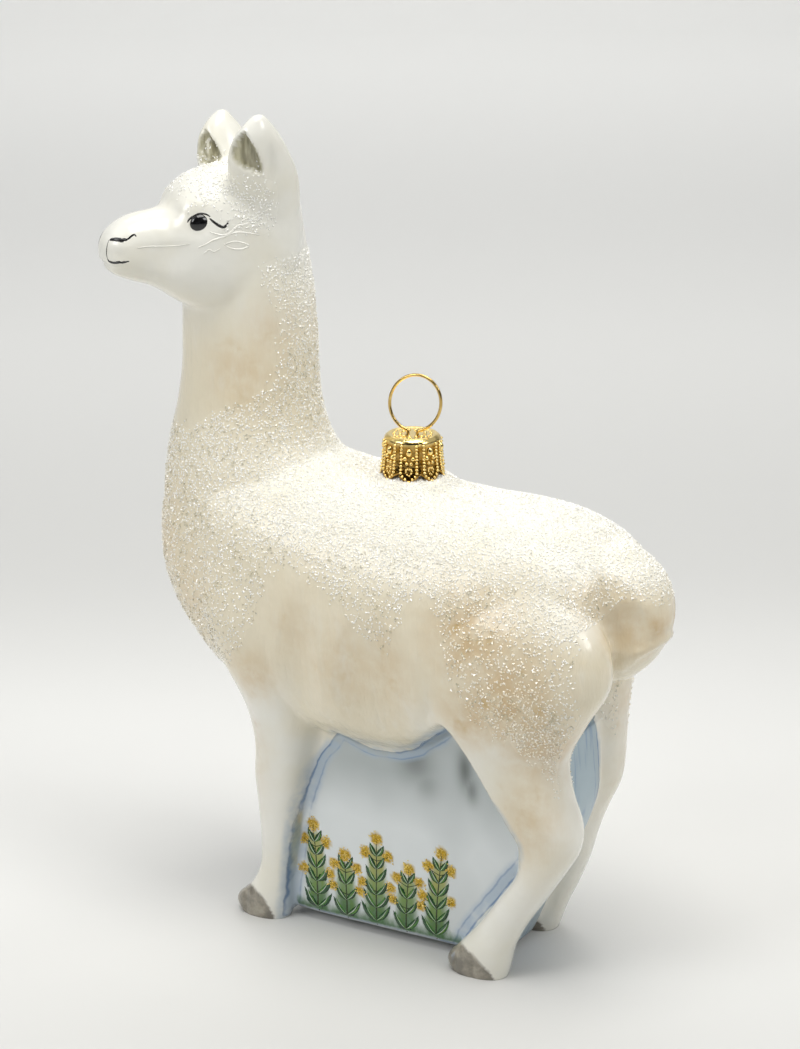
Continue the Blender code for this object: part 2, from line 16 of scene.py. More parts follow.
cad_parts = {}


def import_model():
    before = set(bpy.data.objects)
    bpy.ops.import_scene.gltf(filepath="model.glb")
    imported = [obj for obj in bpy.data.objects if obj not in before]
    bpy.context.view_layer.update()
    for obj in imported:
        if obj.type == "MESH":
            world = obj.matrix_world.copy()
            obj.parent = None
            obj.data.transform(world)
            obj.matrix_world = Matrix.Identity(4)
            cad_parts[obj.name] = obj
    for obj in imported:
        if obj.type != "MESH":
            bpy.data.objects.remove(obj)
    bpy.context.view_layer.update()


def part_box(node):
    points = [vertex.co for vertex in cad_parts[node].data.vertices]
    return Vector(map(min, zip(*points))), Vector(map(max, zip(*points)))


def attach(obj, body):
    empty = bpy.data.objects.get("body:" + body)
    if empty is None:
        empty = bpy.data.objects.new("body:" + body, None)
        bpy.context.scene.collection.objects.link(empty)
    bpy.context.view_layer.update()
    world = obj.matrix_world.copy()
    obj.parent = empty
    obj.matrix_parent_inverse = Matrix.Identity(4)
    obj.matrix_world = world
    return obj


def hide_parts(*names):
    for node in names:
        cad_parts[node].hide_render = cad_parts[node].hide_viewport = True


MM = 0.001
VOXEL = 0.55  # grain of the fused glass before it is smoothed
SMOOTHING = 11  # passes that round the creases between two stacks
RING_POINTS = 48
SECTION_STEP = 0.8

HEAD_TURN = math.radians(52)
HEAD_AT = (1.5, -31.0)
HEAD_FOOT = 108  # the skin above this height is shaped as head
HEAD_PAINT_FOOT = 121  # and above this one is painted as head
CAP_AT = (0.0, 2.5)

# ---- Sections of the glass: (along, low, high, half width) or (along, low, high, inner side, outer side) ----

TRUNK = [
    (-45.4, 64.0, 74.5, 4.5),
    (-43.8, 59.5, 80.0, 8.8),
    (-40.3, 54.0, 84.5, 12.8),
    (-34.0, 47.4, 87.6, 16.2),
    (-25.0, 41.0, 87.6, 18.7),
    (-12.0, 36.6, 85.2, 20.2),
    (0.0, 35.6, 83.8, 20.8),
    (14.0, 37.5, 82.7, 20.6),
    (26.0, 41.5, 82.5, 19.6),
    (34.0, 46.0, 81.3, 17.4),
    (40.0, 52.0, 78.6, 14.8),
    (44.0, 57.0, 75.0, 10.4),
    (45.5, 62.0, 71.0, 5.0),
]
NECK = [
    (66.0, -42.8, -14.0, 15.0),
    (74.0, -44.8, -12.5, 15.6),
    (82.0, -45.0, -13.0, 14.4),
    (88.0, -44.2, -16.6, 12.8),
    (94.0, -43.0, -18.2, 11.4),
    (100.0, -42.2, -18.6, 10.7),
    (107.0, -42.0, -18.8, 10.5),
    (114.0, -41.6, -19.6, 10.6),
    (121.0, -40.0, -21.0, 10.4),
    (128.0, -38.0, -22.8, 9.4),
    (132.0, -35.0, -25.0, 7.0),
]
HEAD = [
    (-9.8, 120.0, 130.0, 5.0),
    (-7.4, 113.0, 133.6, 8.4),
    (-3.0, 109.0, 135.6, 9.8),
    (2.0, 108.5, 136.2, 10.2),
    (6.5, 110.0, 135.5, 9.8),
    (9.0, 111.2, 134.7, 9.2),
    (11.0, 112.2, 133.5, 8.5),
    (12.5, 113.0, 131.8, 7.9),
    (13.6, 113.8, 129.8, 7.2),
    (14.8, 114.7, 129.2, 6.7),
    (17.0, 116.0, 128.9, 6.0),
    (20.0, 117.0, 128.4, 5.4),
    (22.6, 118.0, 127.2, 4.8),
    (24.4, 119.2, 125.6, 3.8),
    (25.5, 121.0, 123.8, 1.6),
]
EAR = [
    (127.0, -8.6, 2.6, 2.4, 9.4),
    (131.5, -8.4, 3.8, 3.4, 10.4),
    (135.5, -7.6, 4.8, 4.4, 11.2),
    (139.0, -6.0, 5.0, 5.4, 11.6),
    (142.4, -4.0, 4.0, 6.8, 11.6),
    (144.8, -2.2, 2.2, 8.2, 11.0),
    (146.2, -1.0, 0.6, 9.2, 10.3),
]
TAIL = [
    (54.8, 41.0, 45.0, 2.4),
    (57.4, 38.2, 48.0, 5.4),
    (61.4, 35.4, 50.8, 7.6),
    (66.0, 34.0, 52.2, 8.8),
    (71.0, 33.0, 51.4, 8.8),
    (75.0, 32.0, 48.6, 7.6),
    (78.0, 32.0, 44.0, 5.2),
]
FRONT_LEG = [
    (-1.2, -27.0, -18.6, 5.4, 11.6),
    (2.6, -28.8, -17.6, 4.8, 12.2),
    (5.4, -25.8, -17.4, 5.0, 12.0),
    (9.0, -23.8, -17.0, 5.2, 11.8),
    (15.0, -23.2, -16.0, 5.0, 12.2),
    (22.0, -23.4, -15.0, 4.6, 13.0),
    (28.0, -24.0, -13.8, 4.4, 13.4),
    (34.0, -23.6, -12.2, 4.0, 14.2),
    (41.0, -24.6, -10.0, 3.4, 16.0),
    (50.0, -28.4, -9.0, 3.0, 18.8),
    (60.0, -32.0, -11.0, 3.0, 20.2),
    (70.0, -32.0, -14.0, 3.0, 18.6),
]
LEFT_HIND_LEG = [
    (-1.2, 18.0, 27.6, 8.0, 14.4),
    (2.4, 16.6, 28.6, 7.4, 15.2),
    (5.2, 19.2, 29.2, 7.6, 15.2),
    (9.0, 22.4, 30.8, 7.8, 15.0),
    (15.0, 26.6, 34.6, 7.6, 15.2),
    (21.5, 30.6, 38.8, 7.2, 15.8),
    (26.0, 30.2, 41.4, 6.8, 16.2),
    (30.5, 27.2, 42.0, 6.4, 16.8),
    (36.0, 21.8, 40.2, 6.0, 17.6),
    (42.0, 15.6, 39.2, 5.0, 18.6),
    (49.0, 10.4, 42.4, 4.0, 20.0),
    (57.0, 8.0, 47.0, 4.0, 21.2),
    (66.0, 11.0, 45.4, 4.0, 20.2),
    (74.0, 17.0, 38.0, 4.0, 16.0),
]
RIGHT_HIND_LEG = [
    (-1.2, 16.2, 25.8, 8.0, 14.4),
    (2.4, 14.8, 27.0, 7.4, 15.2),
    (5.2, 17.4, 28.0, 7.6, 15.2),
    (9.0, 20.4, 29.8, 7.8, 15.0),
    (15.0, 22.8, 32.2, 7.6, 15.2),
    (21.5, 24.6, 34.0, 7.2, 15.6),
    (26.0, 25.2, 35.8, 6.8, 15.8),
    (30.5, 24.6, 37.8, 6.4, 16.4),
    (35.0, 22.0, 38.4, 6.0, 17.0),
    (40.0, 17.6, 38.5, 5.4, 18.0),
    (47.0, 11.8, 38.8, 4.4, 19.4),
    (57.0, 8.0, 40.6, 4.0, 20.8),
    (66.0, 11.0, 40.5, 4.0, 20.2),
    (74.0, 17.0, 36.0, 4.0, 16.0),
]
WEB = [
    (1.2, -19.4, 24.4, 7.0),
    (2.6, -19.4, 25.0, 8.2),
    (4.6, -19.4, 25.8, 8.4),
    (12.0, -19.4, 29.0, 8.2),
    (22.0, -19.4, 34.0, 8.4),
    (30.0, -19.4, 36.6, 9.0),
    (37.0, -19.8, 36.6, 10.2),
    (44.0, -22.0, 36.0, 12.0),
]
BOSS = [(76.0, 12.3), (81.0, 10.0), (83.5, 7.6), (84.7, 5.7), (85.2, 4.4)]

OVAL = 2.0
FULL_OVAL = 2.4
LEG_OVAL = 2.3
WEB_SQUARE = 7.0
RIGHT_FRONT_STRIDE = 1.5  # how far the right front foot stands behind the left
RIGHT_HIND_STRIDE = 1.8  # and the right hind foot in front of it
STRIDE_FROM, STRIDE_TO = 64.0, 44.0  # heights between which the stride sets in
RIGHT_EAR_DROP = 2.4

# Hollows of the smoothed glass: (centre, radii, push)
BODY_DENTS = [
    ((21.0, 6.0, 51.0), (9.0, 9.0, 15.0), (-1.5, 0.0, 0.0)),  # hollow of the flank
    ((21.0, -9.0, 52.0), (8.0, 5.0, 15.0), (-1.1, 0.0, 0.0)),  # behind the shoulder
    ((20.0, -34.0, 72.0), (8.0, 7.0, 12.0), (-1.0, 0.3, 0.0)),  # root of the neck
    ((9.0, 44.0, 68.0), (5.0, 6.0, 9.0), (-0.7, -0.6, 0.0)),  # beside the tail
    ((7.4, 48.0, 66.4), (4.4, 5.0, 5.0), (-1.3, -0.9, 0.0)),  # bowl of the tail
    # A raised lip of glass runs round the underside of the tail.
    ((1.0, 51.0, 63.1), (3.0, 2.2, 1.4), (0.1, 0.35, 0.0)),
    ((3.4, 50.2, 62.5), (2.6, 2.3, 1.4), (0.35, 0.45, 0.0)),
    ((4.9, 48.9, 61.6), (2.5, 2.3, 1.4), (0.45, 0.4, 0.0)),
    ((5.7, 47.4, 60.3), (2.5, 2.3, 1.6), (0.5, 0.25, 0.0)),
    ((5.5, 45.8, 58.7), (2.5, 2.3, 1.8), (0.5, 0.2, 0.0)),
]
HEAD_DENTS = [
    ((10.2, 8.0, 127.6), (4.2, 3.6, 3.2), (0.0, -0.4, 0.0)),  # eye socket
    ((15.0, 6.6, 122.0), (5.0, 4.0, 3.4), (0.0, -0.35, 0.0)),  # hollow of the cheek
    ((23.0, 3.6, 122.6), (1.8, 1.8, 1.1), (-0.2, -0.4, 0.0)),  # nostril
    ((22.6, 3.4, 119.6), (2.6, 2.6, 0.9), (0.0, -0.35, 0.0)),  # corner of the mouth
    ((-1.6, 11.6, 137.4), (1.5, 2.6, 4.6), (0.0, -0.7, 0.0)),  # fold down the outside of the ear
    ((11.4, 5.6, 130.6), (3.2, 3.0, 1.8), (0.1, 0.2, 0.1)),  # brow
]
HEAD_CENTRE_DENTS = [((25.2, 0.0, 120.2), (2.0, 4.0, 0.9), (-0.5, 0.0, 0.0))]
# Opening of each ear: (height, way it faces in degrees from forward, half width).
LEFT_OPENING = [
    (136.0, 66, 0.0),
    (136.7, 57, 1.3),
    (137.7, 47, 2.1),
    (139.0, 38, 2.4),
    (140.4, 32, 2.3),
    (142.0, 24, 1.5),
    (143.6, 18, 0.0),
]
RIGHT_OPENING = [
    (136.4, -18, 0.0),
    (137.2, -21, 1.6),
    (138.6, -23, 2.4),
    (140.2, -21, 2.1),
    (141.8, -17, 1.2),
    (143.2, -12, 0.0),
]
# Each opening: (side, how far that ear is lowered, its rows).
OPENINGS = ((1, 0.0, LEFT_OPENING), (-1, RIGHT_EAR_DROP, RIGHT_OPENING))
EAR_GIRTH = 4.2  # middle radius of an ear
EAR_REACH = 5.4  # how far from its middle an ear's surface lies at most
OPENING_DEPTH = 1.1
TOE_DENTS = [
    ((15.2, 19.2, 2.4), (1.6, 0.7, 3.6), (-0.8, 0.0, 0.0)),
    ((15.4, 23.0, 2.0), (1.6, 0.7, 3.0), (-0.7, 0.0, 0.0)),
    ((12.2, -25.6, 2.4), (1.6, 0.7, 3.4), (-0.7, 0.0, 0.0)),
]

# Outline of the silvered panel on the left side, in Y and Z; on the right it is squeezed along Y.
PANEL = [
    (-18.6, 0.4),
    (-17.4, 9.1),
    (-16.6, 15.0),
    (-15.4, 21.4),
    (-13.4, 27.7),
    (-10.4, 34.6),
    (-8.2, 39.0),
    (-6.0, 40.4),
    (-3.4, 39.2),
    (0.4, 38.0),
    (4.5, 38.2),
    (7.8, 39.6),
    (11.2, 42.2),
    (15.0, 45.2),
    (19.0, 47.8),
    (22.6, 44.4),
    (26.2, 38.4),
    (30.2, 30.2),
    (32.2, 26.8),
    (31.0, 22.6),
    (28.0, 18.0),
    (23.3, 11.6),
    (18.8, 5.0),
    (16.4, 0.4),
]
RIGHT_PANEL_SQUEEZE, RIGHT_PANEL_SHIFT = 0.88, -0.7
PANEL_FACE = [(2.6, 8.2), (22, 8.4), (30, 9.0), (38, 9.6), (48, 10.6)]  # height and distance from the middle
PANEL_WALL = 3.2  # how far in from its outline the panel reaches its full depth

# Cleft between the toes of each foot: (X, Y).
CLEFTS = [(8.5, -28.8), (-8.5, -27.3), (11.4, 16.6), (-11.4, 14.8)]
CLEFT_RADII, CLEFT_PUSH = (0.9, 3.2, 5.0), 1.3

EYE_AT = (9.75, 7.45, 127.5)  # in the head's own frame: forward, sideways, height
EYE_RADII = (1.95, 1.0, 1.72)
EYE_SLANT = 0.12  # how much nearer the middle its front corner lies

# ---- Colours of the paints and finishes (sRGB) ----

PEARL_WHITE = "#F0EFE7"
WARM_WHITE = "#ECE9DB"
CREAM = "#EAE1C9"
HONEY = "#D3B78A"
OCHRE = "#C4A050"
SILVER_PALE = "#DBE0E2"
# Painted shade on the silvered panel towards the belly.
SILVER_SHADE = "#AEB5B6"
# Painted dark reflection in the silvered panel.
DARK_REFLECTION_GREY = "#646A68"
WASH_BLUE = "#A3B9D0"
REAR_BLUE = "#A3B5BF"
OUTLINE_BLUE = "#4E74A6"
EAR_GREY = "#88836A"
EAR_PALE = "#BAB69C"
TOE_GREY = "#7E796E"
TOE_PALE = "#B3AC9C"
BLACK_ENAMEL = "#0A0A0B"
HAZE_RIM = "#A0A252"
HAZE_TOP = "#6B8C38"
HAZE_FOOT = "#35682A"
BERRY_GROUND = "#B9981E"
LEAF_DARK = "#1E4A26"
LEAF_MID = "#407A30"
LEAF_PALE = "#DCE3D2"
GOLD = "#F8DD92"
# Painted shade and dark reflection where the brass lies low.
BRASS_SHADE = "#9C7228"
CLEAR_GRAIN = "#FFFEF8"
HONEY_GRAIN = "#FFF3D6"
# Painted shade of shards that pass no light back.
SHADED_GRAIN = "#C9C2A6"
FLOOR_PAPER = ("#E1E1DF", "#E3E3E1")
# Painted light and shade on the paper: (how far behind the ornament each starts and is full, in mm, its colour).
PAINTED_PAPER_LIGHT = (
    (40, -60, "#D2D2D0"),
    (66, 210, "#CDCDCB"),
    (210, 450, "#DEDEDC"),
    (560, 1000, "#FAFAF8"),
)


def linear(code):
    """An sRGB hex colour as linear red, green, blue and alpha."""
    parts = [int(code[i : i + 2], 16) / 255 for i in (1, 3, 5)]
    return (*(c / 12.92 if c <= 0.04045 else ((c + 0.055) / 1.055) ** 2.4 for c in parts), 1.0)


# ---- Frame ----


def cap_shift():
    """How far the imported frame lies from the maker's frame, in mm: the cap's middle gives it."""
    low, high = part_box("cap")
    return np.array(
        [(low[0] + high[0]) / 2 / MM - CAP_AT[0], (low[1] + high[1]) / 2 / MM - CAP_AT[1], 0.0]
    )


def add_piece(name, mesh, material, replaces=()):
    """Puts a mesh in millimetres into the scene as a piece of the glass body or its cap."""
    mesh.transform(Matrix.Scale(MM, 4) @ Matrix.Translation(Vector(SHIFT)))
    mesh.name = name
    mesh.materials.clear()
    mesh.materials.append(material)
    piece = bpy.data.objects.new(name, mesh)
    bpy.context.scene.collection.objects.link(piece)
    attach(piece, "root")
    if replaces:
        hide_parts(*replaces)
    return piece


def bare_object(name, mesh):
    obj = bpy.data.objects.new(name, mesh)
    bpy.context.scene.collection.objects.link(obj)
    return obj


def evaluated_mesh(obj):
    """The mesh that obj's modifiers make of it; obj is removed."""
    bpy.context.view_layer.update()
    graph = bpy.context.evaluated_depsgraph_get()
    mesh = bpy.data.meshes.new_from_object(obj.evaluated_get(graph))
    bpy.data.objects.remove(obj)
    return mesh


# ---- Stacks of sections ----


def between(t, span, values, slopes, i):
    """The smooth curve through values, at share t of the way from the one at i to the next, span further along."""
    return (
        (2 * t**3 - 3 * t**2 + 1) * values[i]
        + (t**3 - 2 * t**2 + t) * span * slopes[i]
        + (3 * t**2 - 2 * t**3) * values[i + 1]
        + (t**3 - t**2) * span * slopes[i + 1]
    )


def eased_rows(rows):
    """Sections at even steps along a stack, on a smooth curve through the given ones."""
    rows = np.array([r if len(r) == 5 else (r[0], r[1], r[2], -r[3], r[3]) for r in rows], float)
    along = rows[:, 0]
    slopes = np.gradient(rows, along, axis=0)
    made = []
    for place in np.linspace(along[0], along[-1], max(4, round((along[-1] - along[0]) / SECTION_STEP))):
        i = min(int(np.searchsorted(along, place, side="right")) - 1, len(along) - 2)
        span = along[i + 1] - along[i]
        made.append(between((place - along[i]) / span, span, rows, slopes, i))
    return made


def eased_path(points, count):
    """count points along a smooth curve through the given ones."""
    points = np.array(points, float)
    slopes = np.gradient(points, axis=0)
    made = []
    for place in np.linspace(0, len(points) - 1, count):
        i = min(int(place), len(points) - 2)
        made.append(between(place - i, 1.0, points, slopes, i))
    return made


def outline(exponent):
    """A closed rounded section, 1 in each direction: an oval at exponent 2, squarer above that."""
    angles = [2 * math.pi * i / RING_POINTS for i in range(RING_POINTS)]
    power = 2 / exponent
    return [
        (
            math.copysign(abs(math.cos(a)) ** power, math.cos(a)),
            math.copysign(abs(math.sin(a)) ** power, math.sin(a)),
        )
        for a in angles
    ]


def join_rings(bm, rings):
    """Walls between each ring of vertices and the next; returns the faces."""
    made = []
    for lower, upper in zip(rings, rings[1:]):
        for i in range(len(lower)):
            j = (i + 1) % len(lower)
            made.append(bm.faces.new((lower[i], lower[j], upper[j], upper[i])))
    return made


def stack(bm, rows, put, exponent=OVAL):
    """Adds a closed solid to bm: one section for each row, where put(along, depth, side) gives a point."""
    rings = []
    for along, low, high, near, far in eased_rows(rows):
        ring = [
            bm.verts.new(
                put(along, (low + high) / 2 + (high - low) / 2 * d, (near + far) / 2 + (far - near) / 2 * w)
            )
            for d, w in outline(exponent)
        ]
        rings.append(ring)
    made = [bm.faces.new(rings[0]), bm.faces.new(rings[-1])]
    made += join_rings(bm, rings)
    bmesh.ops.recalc_face_normals(bm, faces=made)


def lengthwise(along, depth, side):
    return Vector((side, along, depth))


def upright(along, depth, side):
    return Vector((side, depth, along))


def upright_right(along, depth, side):
    return Vector((-side, depth, along))


def from_head(forward, sideways, height):
    """A point of the head's own frame in the body's."""
    turned = Matrix.Rotation(HEAD_TURN, 3, "Z") @ Vector((sideways, -forward, 0.0))
    return Vector((turned.x + HEAD_AT[0], turned.y + HEAD_AT[1], height))


def strided(rows, stride):
    """A leg's sections set back by its stride, all of it below STRIDE_TO."""
    made = []
    for height, front, back, inner, outer in rows:
        t = min(max((STRIDE_FROM - height) / (STRIDE_FROM - STRIDE_TO), 0.0), 1.0)
        shift = stride * t * t * (3 - 2 * t)
        made.append((height, front + shift, back + shift, inner, outer))
    return made


def add_flesh(bm):
    """The stacks of the animal itself."""
    stack(bm, TRUNK, lengthwise, FULL_OVAL)
    stack(bm, NECK, upright, FULL_OVAL)
    stack(bm, HEAD, lambda a, d, w: from_head(a, w, d), FULL_OVAL)
    stack(bm, EAR, lambda a, d, w: from_head(d, w, a))
    stack(bm, EAR, lambda a, d, w: from_head(d, -w, a - RIGHT_EAR_DROP))
    stack(bm, TAIL, upright)
    stack(bm, FRONT_LEG, upright, LEG_OVAL)
    stack(bm, strided(FRONT_LEG, RIGHT_FRONT_STRIDE), upright_right, LEG_OVAL)
    stack(bm, LEFT_HIND_LEG, upright, LEG_OVAL)
    stack(bm, RIGHT_HIND_LEG, upright_right, LEG_OVAL)
    stack(bm, [(height, CAP_AT[1] - r, CAP_AT[1] + r, r) for height, r in BOSS], upright)


def add_web(bm):
    """The stack of the glass that fills the space between the legs."""
    stack(bm, WEB, upright, WEB_SQUARE)


# ---- The glass skin ----


def dent(points, centre, radii, push):
    """Moves the points inside an egg-shaped reach by push, most at its centre."""
    reach = 1 - (((points - np.array(centre)) / np.array(radii)) ** 2).sum(axis=1)
    points += np.clip(reach, 0, None)[:, None] ** 1.5 * np.array(push)


def dent_both(points, dents, sideways):
    """Makes each dent and its mirror image; sideways is the axis that runs from side to side."""
    for side in (1, -1):
        mirror = np.ones(3)
        mirror[sideways] = side
        for centre, radii, push in dents:
            dent(points, mirror * centre, radii, mirror * push)


def head_axes():
    """Columns that turn (forward, sideways, height) into the body's X, Y and Z."""
    turn = np.array(Matrix.Rotation(HEAD_TURN, 3, "Z"))
    return turn @ np.array([[0, 1, 0], [-1, 0, 0], [0, 0, 1.0]])


def polygon_depth(y, z, corners):
    """How far each (y, z) lies inside a closed outline; negative outside it."""
    corners = np.array(corners)
    least, inside = np.full(len(y), 1e9), np.zeros(len(y), bool)
    for (y0, z0), (y1, z1) in zip(corners, np.roll(corners, -1, axis=0)):
        dy, dz = y1 - y0, z1 - z0
        t = np.clip(((y - y0) * dy + (z - z0) * dz) / (dy * dy + dz * dz + 1e-12), 0, 1)
        least = np.minimum(least, np.hypot(y - y0 - t * dy, z - z0 - t * dz))
        crossed = ((z0 > z) != (z1 > z)) & (y < dy * (z - z0) / (dz if dz else 1e-12) + y0)
        inside ^= crossed
    return np.where(inside, least, -least)


def panel_depth(points):
    """How far inside the outline of the panel on its own side each point lies, seen from that side."""
    y = np.where(points[:, 0] > 0, points[:, 1], (points[:, 1] - RIGHT_PANEL_SHIFT) / RIGHT_PANEL_SQUEEZE)
    return polygon_depth(y, points[:, 2], eased_path(PANEL, 4 * len(PANEL)))


def on_line(line, place):
    """The value of a named line, a list of (place, value), at each place."""
    return np.interp(place, *zip(*line))


def press_panels(points):
    """Presses what lies inside the outlines back to the level of the panels."""
    near = (points[:, 2] < 50) & (abs(points[:, 1]) < 36)
    inner = points[near]
    proud = np.clip(abs(inner[:, 0]) - on_line(PANEL_FACE, inner[:, 2]), 0, None)
    pressed = proud * 0.95 * step_up(panel_depth(inner), 0.0, PANEL_WALL)
    inner[:, 0] -= np.sign(inner[:, 0]) * pressed
    points[near] = inner


def to_head(points):
    return (points - np.array([*HEAD_AT, 0.0])) @ head_axes()


def dent_all(points):
    """Every hollow of the body, head, ears, panels and feet."""
    dent_both(points, BODY_DENTS, 0)
    on_head = points[:, 2] > HEAD_FOOT
    head = to_head(points[on_head])
    dent_both(head, HEAD_DENTS, 1)
    for centre, radii, push in HEAD_CENTRE_DENTS:
        dent(head, centre, radii, push)
    for side, drop, opening in OPENINGS:
        inside, out = ear_opening(head, side, drop, opening)
        head -= out * (OPENING_DEPTH * step_up(inside, -0.1, 0.8))[:, None]
    points[on_head] = head @ head_axes().T + np.array([*HEAD_AT, 0.0])
    press_panels(points)
    for x, y in CLEFTS:
        dent(points, (x, y, 2.0), CLEFT_RADII, (0.0, CLEFT_PUSH, 0.0))
    dent_both(points, TOE_DENTS, 0)


def step_up(value, start, end):
    """Eases from 0 at start to 1 at end; start may be the larger."""
    t = np.clip((value - start) / (end - start), 0, 1)
    return t * t * (3 - 2 * t)


def ear_opening(head, side, drop, opening):
    """How far each point, in the head's own frame, lies inside an ear's opening, and the way out of that ear."""
    forward, out, height = head[:, 0], head[:, 1] * side, head[:, 2] + drop
    ear, gap = np.array(EAR), np.array(opening)
    forward = forward - np.interp(height, ear[:, 0], (ear[:, 1] + ear[:, 2]) / 2)
    out = out - np.interp(height, ear[:, 0], (ear[:, 3] + ear[:, 4]) / 2)
    turn = np.arctan2(out, forward) - np.radians(np.interp(height, gap[:, 0], gap[:, 1]))
    inside = np.interp(height, gap[:, 0], gap[:, 2]) - EAR_GIRTH * abs(turn)
    inside = np.where((height > gap[0, 0]) & (height < gap[-1, 0]) & (out > -8), inside, -9.0)
    reach = np.hypot(forward, out) + 1e-6
    inside = inside - 2.0 * np.clip(reach - EAR_REACH, 0, None)  # not out onto the crown
    return inside, np.stack([forward / reach, side * out / reach, 0 * reach], axis=1)


def mesh_points(mesh):
    points = np.empty(len(mesh.vertices) * 3)
    mesh.vertices.foreach_get("co", points)
    return points.reshape(-1, 3)


def skin_mesh():
    """All the stacks blown into one smooth glass skin, cut level under the feet."""
    bm = bmesh.new()
    add_flesh(bm)
    add_web(bm)
    mesh = bpy.data.meshes.new("glass_skin")
    bm.to_mesh(mesh)
    bm.free()
    rough = bare_object("glass_skin", mesh)
    remesh = rough.modifiers.new("fuse", "REMESH")
    remesh.mode = "VOXEL"
    remesh.voxel_size = VOXEL
    smooth = rough.modifiers.new("soften", "SMOOTH")
    smooth.factor = 0.5
    smooth.iterations = SMOOTHING
    mesh = evaluated_mesh(rough)
    points = mesh_points(mesh)
    dent_all(points)
    mesh.vertices.foreach_set("co", points.ravel())
    bm = bmesh.new()
    bm.from_mesh(mesh)
    whole = bm.verts[:] + bm.edges[:] + bm.faces[:]
    bmesh.ops.bisect_plane(bm, geom=whole, plane_co=(0, 0, 0), plane_no=(0, 0, 1), clear_inner=True)
    bmesh.ops.holes_fill(bm, edges=[e for e in bm.edges if e.is_boundary])
    bmesh.ops.recalc_face_normals(bm, faces=bm.faces)
    bm.to_mesh(mesh)
    bm.free()
    mesh.shade_smooth()
    return mesh


def stack_tree(add):
    bm = bmesh.new()
    add(bm)
    tree = BVHTree.FromBMesh(bm)
    bm.free()
    return tree


def distances(tree, points):
    return np.array([tree.find_nearest(p)[3] for p in points])


def blobs(points, spots):
    """The strongest of some soft round spots at each point: spots are (centre, radii, strength)."""
    made = np.zeros(len(points))
    for centre, radii, strength in spots:
        reach = (((points - np.array(centre)) / np.array(radii)) ** 2).sum(axis=1)
        made = np.maximum(made, strength * np.exp(-reach))
    return made


# Honey-coloured patches breathed on with an airbrush: (centre, radii, strength) on the left side.
HONEY_SPOTS = [
    ((10, -26, 101), (8, 6, 6), 0.55),
    ((7, -22, 108), (6, 4, 6), 0.4),
    ((18, -19, 50), (8, 5, 5), 0.6),
    ((17, -34, 60), (10, 7, 12), 0.4),
    ((20, -9, 60), (8, 6, 8), 0.35),
    ((20, 1, 55), (9, 7, 8), 0.5),
    ((20, 9, 56), (9, 5, 9), 0.5),
    ((20, 26, 64), (9, 9, 8), 0.9),
    ((20, 33, 55), (9, 8, 10), 1.0),
    ((19, 26, 51), (9, 7, 6), 0.8),
    ((17, 37, 46), (8, 6, 7), 0.8),
    ((17, 35, 33), (7, 5, 9), 0.55),
    ((13, -22, 33), (6, 3, 9), 0.35),
    ((7, 48, 66), (7, 6, 6), 0.65),
    ((4, 52, 66), (4, 3, 3), 1.0),
    ((9, 43, 71), (7, 4, 4), 0.45),
    ((12, -42, 70), (9, 7, 10), 0.5),
    ((10, 40, 62), (8, 5, 6), 0.45),
]


def folded(points, sideways=0):
    """The points with the right side folded onto the left; sideways is the axis that runs from side to side."""
    made = points.copy()
    made[:, sideways] = abs(made[:, sideways])
    return made


# Lower edge of the glitter on the flank, from chest to hock: (Y, Z).
GLITTER_HEM = [
    (-50, 44),
    (-26, 49),
    (-21, 53),
    (-17, 61),
    (-15, 68),
    (-11, 71),
    (-6, 68.5),
    (0, 65.5),
    (4, 60),
    (9, 58.5),
    (12, 66),
    (14, 70),
    (17, 69),
    (20, 62),
    (22, 54),
    (27, 49),
    (32, 46.5),
    (36, 43),
    (39, 37),
    (46, 36),
    (47, 58),
    (60, 62),
]
# Edge between the bare throat and the glittered nape: (Z, Y).
THROAT_EDGE = [
    (86, -41),
    (91, -34),
    (94, -31),
    (96, -25),
    (99.5, -21.5),
    (103, -20.5),
    (111, -20.5),
    (116, -22.5),
    (120, -23),
    (124, -20),
]
TAIL_UNDERSIDE = [(43, 68), (47, 71.5), (53, 70)]  # lower edge of the glitter on the tail: (Y, Z)
# Glitter on the temples and the crown, in the head's own frame: (centre, radii, strength).
TEMPLE_SPOTS = [((0.6, 9.5, 130.2), (4.2, 6.0, 4.6), 1.6), ((6.4, 8.0, 133.0), (4.6, 6.0, 2.2), 1.1)]
CROWN_SPOTS = [((6.0, 0.0, 135.0), (6.0, 8.0, 3.2), 0.6)]


def glitter_edge(points, normals):
    """Where there is any glitter at all, 0 to 1."""
    y, z = points[:, 1], points[:, 2]
    hem = on_line(GLITTER_HEM, y) + 1.1 * np.sin(2.3 * y) * np.sin(0.9 * y + 1.0)
    body = step_up(z - hem, -0.8, 2.6) * step_up(z, 34, 38)
    # Low on the haunches it lies on the outside only.
    body *= np.maximum(step_up(z, 57, 63), step_up(abs(normals[:, 0]), 0.3, 0.6))
    nape = step_up(y - on_line(THROAT_EDGE, z), -0.8, 1.6) * step_up(z, 123.0, 119.5)
    chest = step_up(z, 92, 87)
    cover = body * np.where(z > 84, np.maximum(nape, chest), 1.0)
    tail_under = step_up(z - on_line(TAIL_UNDERSIDE, y), -1.5, 1.5)
    cover *= 1 - step_up(y, 42.0, 44.5) * (1 - tail_under)
    head = to_head(points)
    forward, height = head[:, 0], head[:, 2]
    on_head = np.maximum(np.clip(blobs(folded(head, 1), TEMPLE_SPOTS), 0, 1), blobs(head, CROWN_SPOTS))
    on_head = on_head * step_up(forward, -3.6, -2.2) * step_up(height, 124.6, 126.6) * step_up(height, 138.4, 136.6)
    return np.where(z > HEAD_PAINT_FOOT, on_head, cover)


# Where the glitter lies thinner or thicker on the haunches: (centre, radii, strength).
THIN_SPOTS = [((20, 27, 58), (12, 11, 9), 0.2)]
THICK_SPOTS = [((18, 34, 47), (10, 10, 9), 0.5)]


